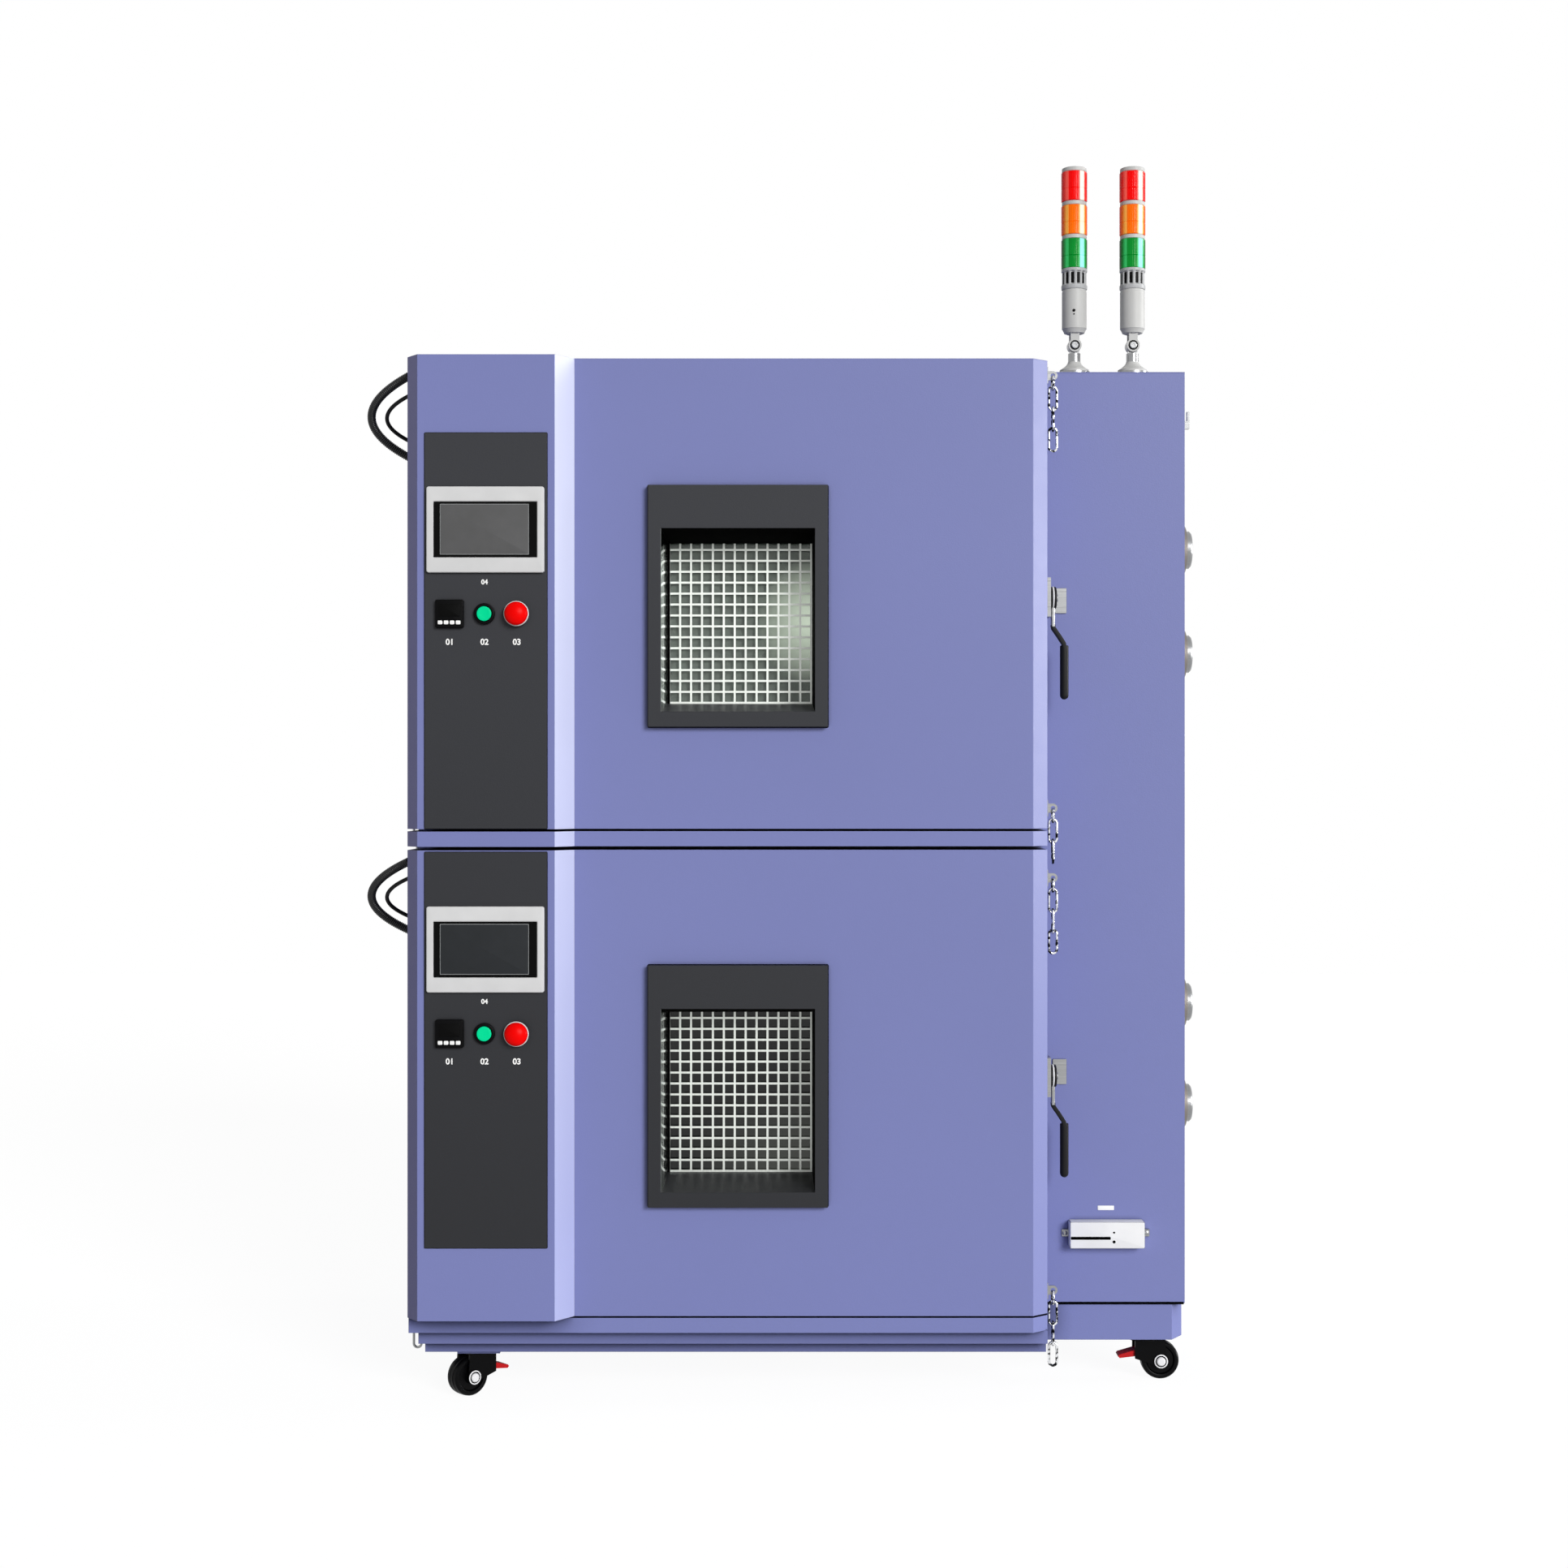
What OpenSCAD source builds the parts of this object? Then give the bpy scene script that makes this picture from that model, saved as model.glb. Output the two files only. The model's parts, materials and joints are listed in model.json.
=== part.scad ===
// Two-deck explosion-proof oven on casters. Millimetres, +Z up, the doors face -Y.
// The origin is on the floor, under the middle of the whole machine.

/* [Doors] */
// Left edge of both doors
door_left = -654; // [-680:1:-640]
// Width of each door
door_w = 1100; // [1080:1:1120]
// Thickness of each door behind its flat front
door_t = 110; // [90:1:130]
// Flat front plane of the doors
door_front_y = -474; // [-490:1:-460]
// Gap between a door and the cabinet face, filled by the seal
door_gap = 6; // [5:0.5:9]
// Bottom edge of the upper door
upper_door_z = 989; // [989:1:991]
// Height of the upper door
upper_door_h = 808; // [780:1:820]
// Bottom edge of the lower door
lower_door_z = 152; // [152:1:154]
// Height of the lower door
lower_door_h = 801; // [780:1:802]
// Width of the slope on the left edge
left_slope_w = 21; // [12:1:26]
// Depth of the slope on the left edge
left_slope_d = 30; // [15:1:40]
// Skin of the door
door_skin = 3; // [2:0.5:5]
// Width of the chamfer on the right edge
right_chamfer_w = 27; // [12:1:34]
// Depth of the chamfer on the right edge
right_chamfer_d = 24; // [12:1:34]

/* [Control column] */
// Width of the raised flat column
column_w = 234; // [226:1:250]
// How far the column stands out from the door
column_rise = 41; // [25:1:55]
// Width of the slope from the column down to the door
column_slope_w = 30; // [15:1:40]
// Dark plate, width
plate_w = 208; // [204:1:216]
// Dark plate, height
plate_h = 673; // [640:1:680]
// Dark plate, thickness
plate_t = 3; // [2:0.5:5]
// Column edge to the plate edge
plate_inset = 13; // [6:1:16]
// Bottom of the upper door to its plate
upper_plate_up = 1; // [1:1:60]
// Bottom of the lower door to its plate
lower_plate_up = 125; // [60:1:126]

/* [Instruments] */
// Touch screen housing, width
screen_w = 200; // [180:1:202]
// Touch screen housing, height
screen_h = 146; // [130:1:160]
// Touch screen housing, thickness
screen_t = 8; // [5:0.5:14]
// Black border of the screen, width
screen_face_w = 176; // [160:1:178]
// Black border of the screen, height
screen_face_h = 95; // [90:1:110]
// Middle of the screen above the plate bottom
screen_up = 508; // [480:1:540]
// Middle of the row of controls above the plate bottom
controls_up = 365; // [320:1:390]
// Side of the square temperature limiter
limiter_w = 48; // [40:1:52]
// How far the limiter stands out
limiter_t = 9; // [6:0.5:16]
// Plate edge to the middle of the limiter
limiter_in = 43; // [32:1:46]
// Plate edge to the middle of the green button
green_in = 102; // [92:1:108]
// Plate edge to the middle of the red button
stop_in = 157; // [150:1:170]
// Green button, diameter
green_d = 25; // [20:0.5:28]
// Collar around the green button, diameter
green_collar_d = 36; // [33:0.5:40]
// Collar height of both buttons
collar_t = 7; // [5:0.5:10]
// Travel of the green button
green_travel = 3; // [2:0.5:4]
// Red mushroom head, diameter
stop_d = 40; // [32:0.5:44]
// Red mushroom head, height
stop_head_t = 15; // [10:0.5:20]
// Neck of the mushroom, diameter
stop_neck_d = 22; // [16:0.5:24]
// Collar around the neck, diameter
stop_collar_d = 31; // [29:0.5:36]
// Travel of the mushroom
stop_travel = 5; // [3:0.5:7]
// Button stem, diameter and length behind the column's front
stem_d = 8; // [6:0.5:10]
stem_l = 14; // [8:1:20]

/* [Windows] */
// Door's left edge to the window bezel
bezel_in = 412; // [396:1:430]
// Window bezel, width
bezel_w = 308; // [306:1:330]
// Window bezel, height
bezel_h = 414; // [410:1:440]
// How far the bezel stands out of the door
bezel_t = 16; // [8:1:24]
// Window opening, width
opening_w = 266; // [240:1:270]
// Window opening, height
opening_h = 316; // [290:1:320]
// Bottom bar of the bezel
bezel_bottom = 25; // [15:1:35]
// Door bottom to the bezel bottom, upper door
upper_bezel_up = 175; // [160:1:190]
// Door bottom to the bezel bottom, lower door
lower_bezel_up = 189; // [170:1:200]
// Depth of the wire guard behind the door front
guard_depth = 100; // [80:1:104]
// Thickness of the wire guard
guard_t = 2.5; // [1.5:0.5:4]
// Pitch of the guard's squares
guard_pitch = 19.2; // [17:0.1:19.6]
// Bar width between the squares
guard_bar = 3.6; // [3:0.2:6]
// Squares across
guard_nx = 13; // [8:1:13]
// Squares up
guard_nz = 15; // [8:1:15]
// Glass pane thickness
glass_t = 6; // [4:0.5:8]
// Depth of the outer pane behind the door front
glass_depth = 110; // [108:1:114]
// How far the four reveals slope inwards down to the guard: left, right, bottom and top
reveal_left = 8; // [2:1:9]
reveal_right = 4; // [2:1:8]
reveal_bottom = 18; // [8:1:20]
reveal_top = 16; // [4:1:17]

/* [Chambers] */
// Door's left edge to the chambers
wall_left = 150; // [134:1:160]
// Chambers to the door's right edge
wall_right = 150; // [134:1:160]
// Chamber height inside
chamber_h = 600; // [580:1:610]
// Chamber depth inside
chamber_d = 700; // [680:1:704]
// Upper door bottom to the chamber floor
upper_chamber_up = 96; // [90:1:104]
// Lower door bottom to the chamber floor
lower_chamber_up = 98; // [90:1:104]
// Liner sheet
liner_t = 2; // [1.5:0.5:3]
// How far the inner panel of a door stands into the mouth
plug_d = 20; // [12:1:26]
// Free space round the inner panel
plug_clear = 12; // [10:1:20]
// Width of the door seal
seal_w = 20; // [14:1:26]
// Mouth edge to the seal
seal_out = 22; // [16:1:30]
// Depth of the air duct on the right wall
duct_w = 70; // [62:1:80]
// Chamber mouth to the duct
duct_y = 240; // [230:1:260]
// Duct, length along the wall
duct_d = 430; // [400:1:450]
// Chamber floor and ceiling to the duct
duct_gap = 30; // [20:1:50]
// Duct sheet
duct_t = 2; // [1.5:0.5:3]
// Air holes in the duct, diameter
air_hole_d = 16; // [10:1:20]
// Air hole pitch
air_hole_pitch = 48; // [44:1:54]
// Fan inlet in the duct, diameter
inlet_d = 170; // [150:1:180]

/* [Shelves] */
// Square bar of the shelf racks
rack_bar = 12; // [8:1:16]
// How far the rails stand further in than the posts
rail_in = 12; // [8:1:20]
// Chamber mouth to the front post
rack_y = 50; // [40:1:60]
// Rack length
rack_d = 600; // [560:1:620]
// Chamber floor to the lowest rail
rail_up = 90; // [70:1:110]
// Rail pitch
rail_pitch = 130; // [110:1:140]
// Rails on each side
rail_n = 4; // [3:1:4]
// Rail that carries the shelf, counted from the bottom
shelf_level = 1; // [0:1:2]
// Shelf rod, diameter
shelf_rod_d = 6; // [4:0.5:8]
// Shelf rods from front to back
shelf_rods = 13; // [8:1:16]
// Shelf, depth
shelf_d = 580; // [540:1:600]

/* [Cabinet] */
// Depth of the cabinet behind its face
cab_d = 850; // [840:1:880]
// Top of the cabinet
cab_top = 1797; // [1797:1:1810]
// Outer sheet
sheet_t = 2; // [1.5:0.5:3]
// Face frame thickness
face_t = 4; // [3:0.5:6]
// Bottom of the rail between the doors
mid_rail_z = 959; // [957:1:960]
// Height of the rail between the doors
mid_rail_h = 26; // [22:1:27]
// Width of the service bay
bay_w = 256; // [244:1:264]
// Service bay front, behind the door front
bay_recess = 139; // [125:1:150]
// Seam above the service bay plinth
bay_seam_z = 145; // [135:1:160]
// Plinth corner chamfer, width
bay_chamfer_w = 23; // [12:1:30]
// Plinth corner chamfer, depth
bay_chamfer_d = 37; // [20:1:50]
// Bottom of the base frame
base_z = 80; // [80:1:80]
// Height of the set-back lower skirt
skirt_h = 20; // [14:1:24]
// Height of the upper skirt
upper_skirt_h = 23; // [20:1:23]
// Height of the floor slab under the doors
slab_h = 26; // [22:1:26]
// Set-back of the upper skirt
upper_skirt_in = 20; // [10:1:30]
// Set-back of the lower skirt
skirt_in = 46; // [32:1:60]
// Set-back of both skirts at the left side
side_skirt_in = 14; // [8:1:20]
// Base channel width
channel_w = 80; // [60:1:90]
// Sheet of the base
base_skin = 3; // [2:0.5:5]

/* [Hinges] */
// Hinge barrel, diameter
barrel_d = 19; // [16:0.5:19]
// Hinge pin, diameter
hinge_pin_d = 9; // [7:0.5:11]
// Height of one knuckle
knuckle_h = 42; // [30:1:60]
// Hinge axis from the door's left edge
hinge_in = 10; // [10:0.5:12]
// Hinge axis in front of the cabinet face
hinge_out = 10; // [10:0.5:12]
// Rebate in the door for the hinges, width and depth
rebate_w = 27; // [26:1:32]
rebate_d = 22; // [21:1:26]
// Door edge to the first hinge
hinge_end = 70; // [50:1:100]

/* [Lever handles] */
// Door bottom to the upper lever's pivot
upper_pivot_up = 402; // [360:1:440]
// Door bottom to the lower lever's pivot
lower_pivot_up = 404; // [360:1:440]
// Pivot in front of the door back
pivot_in = 36; // [30:1:50]
// Escutcheon plate, thickness
escutcheon_t = 9; // [6:0.5:10]
// Escutcheon plate, width
escutcheon_w = 50; // [40:1:60]
// Escutcheon plate, height
escutcheon_h = 68; // [56:1:80]
// Hub of the lever, diameter
hub_d = 39; // [34:1:46]
// Hub of the lever, thickness
hub_t = 11; // [8:0.5:14]
// Pivot stud, diameter
stud_d = 12; // [8:0.5:14]
// Steel arm, width and thickness
arm_w = 16; // [12:1:22]
arm_t = 6; // [4:0.5:7]
// Pivot to the bend of the arm
arm_drop = 50; // [40:1:60]
// Pivot to the top of the grip
grip_drop = 82; // [72:1:95]
// Offset of the grip from the arm
grip_out = 20; // [14:1:26]
// Grip, diameter
grip_d = 15; // [12:0.5:20]
// Grip, length
grip_l = 88; // [70:1:110]
// Latch pin, diameter
latch_pin_d = 8; // [6:0.5:9]

/* [Cable ports] */
// Port bore, diameter
port_bore_d = 50; // [40:1:54]
// Port tube wall
port_wall = 4; // [3:0.5:6]
// Chamber mouth to the port centres
port_y = 130; // [120:1:150]
// Chamber floor to the lower port, upper deck
upper_port_up = 217; // [200:1:240]
// Chamber floor to the lower port, lower deck
lower_port_up = 237; // [200:1:250]
// Distance between the two ports of the upper deck
upper_port_gap = 189; // [170:1:200]
// Distance between the two ports of the lower deck
lower_port_gap = 183; // [170:1:200]
// Port flange, diameter and thickness
port_flange_d = 115; // [100:1:125]
port_flange_t = 6; // [4:0.5:8]
// Clamp ring, diameter and thickness
clamp_d = 98; // [84:1:99]
clamp_t = 10; // [6:0.5:14]
// Cap, diameter and thickness
cap_d = 68; // [62:1:76]
cap_t = 11; // [8:0.5:16]
// Plug of the cap inside the bore, length
cap_plug = 14; // [8:1:15]

/* [Fans] */
// Impeller, diameter
fan_d = 210; // [180:1:230]
// Blade height along the shaft
blade_h = 32; // [24:1:36]
// Number of blades
blade_n = 12; // [8:1:16]
// Chamber mouth to the fan axis
fan_y = 455; // [440:1:470]
// Fan shaft, diameter
fan_shaft_d = 16; // [12:1:20]
// Motor body, diameter
motor_d = 150; // [120:1:170]
// Motor body, length
motor_l = 170; // [140:1:185]
// Cooling fins on each motor
fin_n = 9; // [5:1:10]

/* [Relief hatches] */
// Hatch, width
hatch_w = 340; // [300:1:400]
// Hatch, height
hatch_h = 260; // [220:1:300]
// Hatch, thickness
hatch_t = 16; // [10:1:24]
// Overlap of the hatch on the frame of its duct
hatch_lap = 20; // [14:1:30]
// Chamber floor to the hatch duct
hatch_up = 190; // [160:1:220]

/* [Exhaust spigots] */
// Spigot bore, diameter
spigot_d = 76; // [60:1:90]
// Spigot wall
spigot_wall = 3; // [2:0.5:4]
// How far a spigot stands out of the back
spigot_out = 60; // [40:1:80]
// Chamber ceiling to the spigot axis
spigot_down = 75; // [66:1:90]
// Spigot axis to the left of the hatch centre
spigot_side = 250; // [240:1:300]

/* [Signal towers] */
// Door's right edge to the tower centres
tower_side = [64, 168]; // [34:1:194]
// Tower lens, diameter
lens_d = 46; // [38:1:50]
// Lens height
lens_h = 52; // [40:1:60]
// White ring between lenses
ring_h = 8; // [5:0.5:12]
// Tower body, height
tower_body_h = 71; // [55:1:90]
// Ribbed collar, height
tower_collar_h = 37; // [28:1:45]
// Service bay front to the tower centres
tower_in = 34; // [30:1:60]
// Roof to the fold axis
tower_fold_up = 52; // [48:1:64]
// Fold axis to the bottom of the tower body
tower_fork_h = 29; // [24:1:36]
// Foot flange, diameter
foot_d = 56; // [48:1:64]
// Tower post, diameter
post_d = 22; // [16:1:24]

/* [Casters] */
// Wheel, diameter
wheel_d = 68; // [66:1:69]
// Wheel, width
wheel_w = 30; // [24:1:34]
// Trail from the swivel axis to the axle
trail = 28; // [22:1:34]
// Axle, diameter
axle_d = 10; // [8:0.5:12]
// Fork sheet
fork_t = 4; // [3:0.5:5]
// Swivel head, diameter
swivel_d = 54; // [44:1:60]
// Swivel pin, diameter
kingpin_d = 10; // [8:0.5:12]
// Pedal pin, from the swivel axis and above the floor
pedal_x = -12; // [-14:1:-12]
pedal_z = 48; // [46:1:50]
// Pedal pin, diameter
pedal_pin_d = 6; // [5:0.5:7]
// Door's left edge to the left casters
caster_in_left = 114; // [94:1:154]
// Right side of the service bay to the right casters
caster_in_right = 65; // [62:1:100]
// Front left caster, behind the door front
caster_front_left = 88; // [86:1:130]
// Front right caster, behind the service bay front
caster_front_right = 55; // [50:1:80]
// Rear casters, in front of the back
caster_rear = 80; // [76:1:90]

/* [Chains and conduits] */
// Chain link, length outside
link_l = 45; // [36:1:50]
// Chain link, width outside
link_w = 18; // [16:1:20]
// Chain wire, diameter
link_wire = 4.5; // [3.5:0.5:5]
// Links in a chain below its ring, and in the short one over the lower door
link_n = 3; // [2:1:3]
short_link_n = 2; // [1:1:2]
// Door top to the right chain's eye, upper and lower door
upper_chain_down = 22; // [20:1:30]
lower_chain_down = 50; // [50:1:70]
// Door bottom to the eyes of the bottom chains
chain_up = 35; // [30:1:40]
// Door back to the right chains, and cabinet face to the left chains
chain_in = 62; // [50:1:70]
side_chain_in = 70; // [64:1:90]
// Ring at the top of a chain, diameter
chain_ring_d = 27; // [24:1:30]
// Conduit, outer diameter
conduit_d = 15; // [12:0.5:18]
// Inner cable, diameter
cable_d = 7; // [5:0.5:9]
// How far the conduit stands out, and half the distance between its ends
conduit_bulge = 74; // [60:1:90]
conduit_half = 90; // [80:1:96]
// The same for the inner cable
cable_bulge = 47; // [36:1:54]
cable_half = 52; // [50:1:58]
// Door top to the conduit's upper end
conduit_top = 22; // [20:1:30]
// Gland, length
gland_l = 8; // [6:0.5:12]

/* [Service box] */
// Door's right edge to the box
box_in = 50; // [34:1:64]
// Bottom
box_z = 247; // [240:1:280]
// Width, height and depth
box_w = 131; // [110:1:140]
box_h = 46; // [36:1:60]
box_t = 27; // [18:1:36]

/* [Hidden] */
// Radial clearance of running fits
run = 0.05;
// Clearance between faces that move past each other
slip = 0.3;
// Seam between stacked tiers and between welded sheets
tier_gap = 0.1;
$fn = 48;

door_right = door_left + door_w;
door_back_y = door_front_y + door_t;
face_y = door_back_y + door_gap;
cab_back_y = face_y + cab_d;
column_front_y = door_front_y - column_rise;
column_x = door_left + left_slope_w;
plate_x = column_x + plate_inset;
plate_front_y = column_front_y - plate_t;
screen_front_y = plate_front_y - screen_t;
upper_plate_z = upper_door_z + upper_plate_up;
lower_plate_z = lower_door_z + lower_plate_up;
upper_chamber_z = upper_door_z + upper_chamber_up;
lower_chamber_z = lower_door_z + lower_chamber_up;
chamber_left = door_left + wall_left;
chamber_right = door_right - wall_right;
bay_right = door_right + bay_w;
tower_x = [for (side = tower_side) door_right + side];
box_x = door_right + box_in;
caster_left = door_left + caster_in_left;
caster_right = bay_right - caster_in_right;
duct_h = chamber_h - 2 * duct_gap;
bezel_left = door_left + bezel_in;
chamber_back_y = face_y + chamber_d;
bay_front_y = door_front_y + bay_recess;
slab_z = base_z + skirt_h + upper_skirt_h;
slab_top = slab_z + slab_h;
opening_x = bezel_left + (bezel_w - opening_w) / 2;
upper_opening_z = upper_door_z + upper_bezel_up + bezel_bottom;
lower_opening_z = lower_door_z + lower_bezel_up + bezel_bottom;
sleeve_t = 1.5;
hinge_x = door_left + hinge_in;
hinge_y = face_y - hinge_out;
pivot_y = door_back_y - pivot_in;
upper_pivot_z = upper_door_z + upper_pivot_up;
lower_pivot_z = lower_door_z + lower_pivot_up;
hub_x = door_right + escutcheon_t + slip;
port_tube_d = port_bore_d + 2 * port_wall;
port_zs = [
    upper_chamber_z + upper_port_up + upper_port_gap,
    upper_chamber_z + upper_port_up,
    lower_chamber_z + lower_port_up + lower_port_gap,
    lower_chamber_z + lower_port_up
];
port_front_x = bay_right + port_flange_t + clamp_t;
fan_x = chamber_right - duct_w + duct_t + 8;
fan_plate_t = 3;
motor_flange_t = 10;
hatch_x = (chamber_left + chamber_right) / 2;
spigot_x = hatch_x - spigot_side;
spigot_z_up = chamber_h - spigot_down;
tower_fold_z = cab_top + tower_fold_up;
knuckle_t = 14;
caster_plate_t = 4;
race_t = 2.5;
crown_top = base_z - caster_plate_t - race_t;
axle_z = wheel_d / 2;
chain_pitch = link_l - 2 * link_wire - slip;
// Lean of the conduit's loop: its upper end is on the door and its lower end on the cabinet
conduit_tilt = 42;
shelf_z_up = rail_up + shelf_level * rail_pitch + rack_bar + slip;
rack_right = chamber_right - duct_w - slip;

paint = "#8187bb";
dark = "#404144";
steel = "#c4c8cc";
black = "#1b1b1d";

// A box between two corners
module block(a, b) {
    translate(a) cube(b - a);
}

// A rod along X from x0 to x1
module rod_x(x0, x1, y, z, d) {
    translate([x0, y, z]) rotate([0, 90, 0]) cylinder(h = x1 - x0, d = d);
}

// A rod along Y from y0 to y1
module rod_y(x, y0, y1, z, d) {
    translate([x, y0, z]) rotate([-90, 0, 0]) cylinder(h = y1 - y0, d = d);
}

// A flat shape raised from z
module extrude_at(z, h) {
    translate([0, 0, z]) linear_extrude(h) children();
}

// A rounded rectangle, centred
module round_rect(w, h, r) {
    union() {
        square([w - 2 * r, h], center = true);
        square([w, h - 2 * r], center = true);
        for (sx = [-1, 1], sy = [-1, 1])
            translate([sx * (w / 2 - r), sy * (h / 2 - r)]) circle(r);
    }
}

// Plan of a door or of the rail between them, t inside its outline; the corner towards the
// hinges may be rebated
function front_plan(back_y, cut_w, cut_d, t) = concat(
    cut_w > 0
        ? [
            [door_left + cut_w + t, back_y - t],
            [door_left + cut_w + t, back_y - cut_d - t],
            [door_left + t, back_y - cut_d - t]
        ]
        : [[door_left + t, back_y - t]],
    [
        [door_left + t, column_front_y + left_slope_d + t / 2],
        [column_x + t / 2, column_front_y + t],
        [column_x + column_w - t / 2, column_front_y + t],
        [column_x + column_w + column_slope_w - t / 2, door_front_y + t],
        [door_right - right_chamfer_w - t / 2, door_front_y + t],
        [door_right - t, door_front_y + right_chamfer_d + t / 2],
        [door_right - t, back_y - t]
    ]
);

// Doors

// A hollow door of sheet, with a frame of sheet round the window. The pan of the control column
// and the pan of the door meet in a seam at the foot of the column's slope.
module door_shell(z0, h, opening_z, plate_z) {
    hole = sleeve_t + slip;
    frame = hole + door_skin;
    seam_x = column_x + column_w + column_slope_w;
    color(paint) difference() {
        union() {
            difference() {
                extrude_at(z0, h) polygon(front_plan(door_back_y, rebate_w, rebate_d, 0));
                extrude_at(z0 + door_skin, h - 2 * door_skin)
                    polygon(front_plan(door_back_y, rebate_w, rebate_d, door_skin));
            }
            window_box(door_front_y + 1, door_back_y - 1, opening_z, frame);
        }
        window_box(door_front_y - 1, door_back_y + 1, opening_z, hole);
        for (x = [plate_x + green_in, plate_x + stop_in])
            rod_y(x, column_front_y - 1, column_front_y + door_skin + 1, plate_z + controls_up, stem_d + 2);
        block([seam_x, column_front_y - 1, z0 - 1], [seam_x + tier_gap, door_back_y + 1, z0 + h + 1]);
    }
}

// Stainless pan on the back of the door, t inside its outline
module plug_box(chamber_z, y1, t) {
    in = plug_clear + t;
    block(
        [chamber_left + in, door_back_y - (t > 0 ? 1 : 0), chamber_z + in],
        [chamber_right - in, y1, chamber_z + chamber_h - in]
    );
}

// Through the window opening, t outside its edges
module window_box(y0, y1, opening_z, t) {
    block([opening_x - t, y0, opening_z - t], [opening_x + opening_w + t, y1, opening_z + opening_h + t]);
}

// The pan with the sleeve of the window, and the silicone seal round it
module inner_panel(opening_z, chamber_z) {
    plug_y = door_back_y + plug_d;
    color(steel) difference() {
        union() {
            difference() {
                plug_box(chamber_z, plug_y, 0);
                plug_box(chamber_z, plug_y - sleeve_t, sleeve_t);
            }
            window_box(door_front_y, plug_y, opening_z, sleeve_t);
        }
        window_box(door_front_y - 1, plug_y + 1, opening_z, 0);
    }
    color("#b5533c") seal(chamber_z);
}

module seal(chamber_z) {
    out = seal_out + seal_w;
    difference() {
        block(
            [chamber_left - out, door_back_y, chamber_z - out],
            [chamber_right + out, face_y - slip, chamber_z + chamber_h + out]
        );
        block(
            [chamber_left - seal_out, door_back_y - 1, chamber_z - seal_out],
            [chamber_right + seal_out, face_y + 1, chamber_z + chamber_h + seal_out]
        );
    }
}

// A wedge that is as thick as t at the guard and thin at the front of the bezel. It is drawn in
// the plane of depth and thickness and runs along the third axis.
module wedge(t, l) {
    front = door_front_y - bezel_t;
    guard = door_front_y + guard_depth - slip;
    linear_extrude(l) polygon([[front, 0], [front, 1], [guard, t], [guard, 0]]);
}

// Dark frame on the door, with reveals that slope down to the guard
module window_bezel(opening_z) {
    far_x = opening_x + opening_w;
    far_z = opening_z + opening_h;
    color(dark) union() {
        difference() {
            block(
                [bezel_left, door_front_y - bezel_t, opening_z - bezel_bottom],
                [bezel_left + bezel_w, door_front_y, opening_z - bezel_bottom + bezel_h]
            );
            window_box(door_front_y - bezel_t - 1, door_front_y + 1, opening_z, 0);
        }
        translate([opening_x, 0, opening_z]) mirror([1, -1, 0]) wedge(reveal_left, opening_h);
        translate([far_x, 0, opening_z]) rotate([0, 0, 90]) wedge(reveal_right, opening_h);
        translate([opening_x, 0, opening_z]) rotate([90, 0, 90]) wedge(reveal_bottom, opening_w);
        translate([far_x, 0, far_z]) rotate([90, 0, 90]) mirror([0, 1, 0])
            mirror([0, 0, 1]) wedge(reveal_top, opening_w);
    }
}

// Two panes in the sleeve
module window_glass(opening_z) {
    color("#dfe9e6") for (y = [door_front_y + glass_depth, door_back_y + plug_d - glass_t])
        window_box(y, y + glass_t, opening_z, -slip);
}

// Flat stainless guard with square holes
module window_guard(opening_z) {
    square_w = guard_pitch - guard_bar;
    x0 = opening_x + (opening_w + reveal_left - reveal_right - guard_nx * guard_pitch + guard_bar) / 2;
    z0 = opening_z + reveal_bottom + guard_bar;
    color(steel)
    translate([0, door_front_y + guard_depth + guard_t, 0]) rotate([90, 0, 0])
    linear_extrude(guard_t) difference() {
        translate([opening_x + slip, opening_z + slip])
            square([opening_w - 2 * slip, opening_h - 2 * slip]);
        for (i = [0:guard_nx - 1], k = [0:guard_nz - 1])
            translate([x0 + i * guard_pitch, z0 + k * guard_pitch]) square(square_w);
    }
}

module control_plate(plate_z) {
    color(dark) difference() {
        block([plate_x, plate_front_y, plate_z], [plate_x + plate_w, column_front_y, plate_z + plate_h]);
        for (x = [plate_x + green_in, plate_x + stop_in])
            rod_y(x, plate_front_y - 1, column_front_y + 1, plate_z + controls_up, stem_d + 2 * run);
    }
}

module instruments(plate_z) {
    mid_x = plate_x + plate_w / 2;
    row_z = plate_z + controls_up;
    face_in = 3;
    color("#cfd1d3") translate([mid_x, plate_front_y, plate_z + screen_up]) rotate([90, 0, 0])
    difference() {
        linear_extrude(screen_t) round_rect(screen_w, screen_h, 3);
        translate([-screen_face_w / 2, -screen_face_h / 2, screen_t - face_in])
            cube([screen_face_w, screen_face_h, face_in + 1]);
    }
    color(black) translate([mid_x, screen_front_y + face_in, plate_z + screen_up]) rotate([90, 0, 0])
        linear_extrude(face_in - 1) square([screen_face_w, screen_face_h], center = true);
    color(black) translate([plate_x + limiter_in, plate_front_y, row_z]) rotate([90, 0, 0])
    difference() {
        linear_extrude(limiter_t) round_rect(limiter_w, limiter_w, 3);
        translate([0, limiter_w * 0.12, limiter_t - 1.5]) linear_extrude(2)
            square([limiter_w * 0.78, limiter_w * 0.5], center = true);
    }
    color("#2c2d30") translate([plate_x + green_in, plate_front_y, row_z]) rotate([90, 0, 0])
        collar(green_collar_d, green_d);
    color("#2c2d30") translate([plate_x + stop_in, plate_front_y, row_z]) rotate([90, 0, 0])
        collar(stop_collar_d, stop_neck_d);
}

module collar(d, bore) {
    difference() {
        union() {
            cylinder(h = collar_t - 1.5, d = d);
            translate([0, 0, collar_t - 1.5]) cylinder(h = 1.5, d1 = d, d2 = d - 3);
        }
        translate([0, 0, -1]) cylinder(h = collar_t + 2, d = bore + 2 * run);
    }
}

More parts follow.
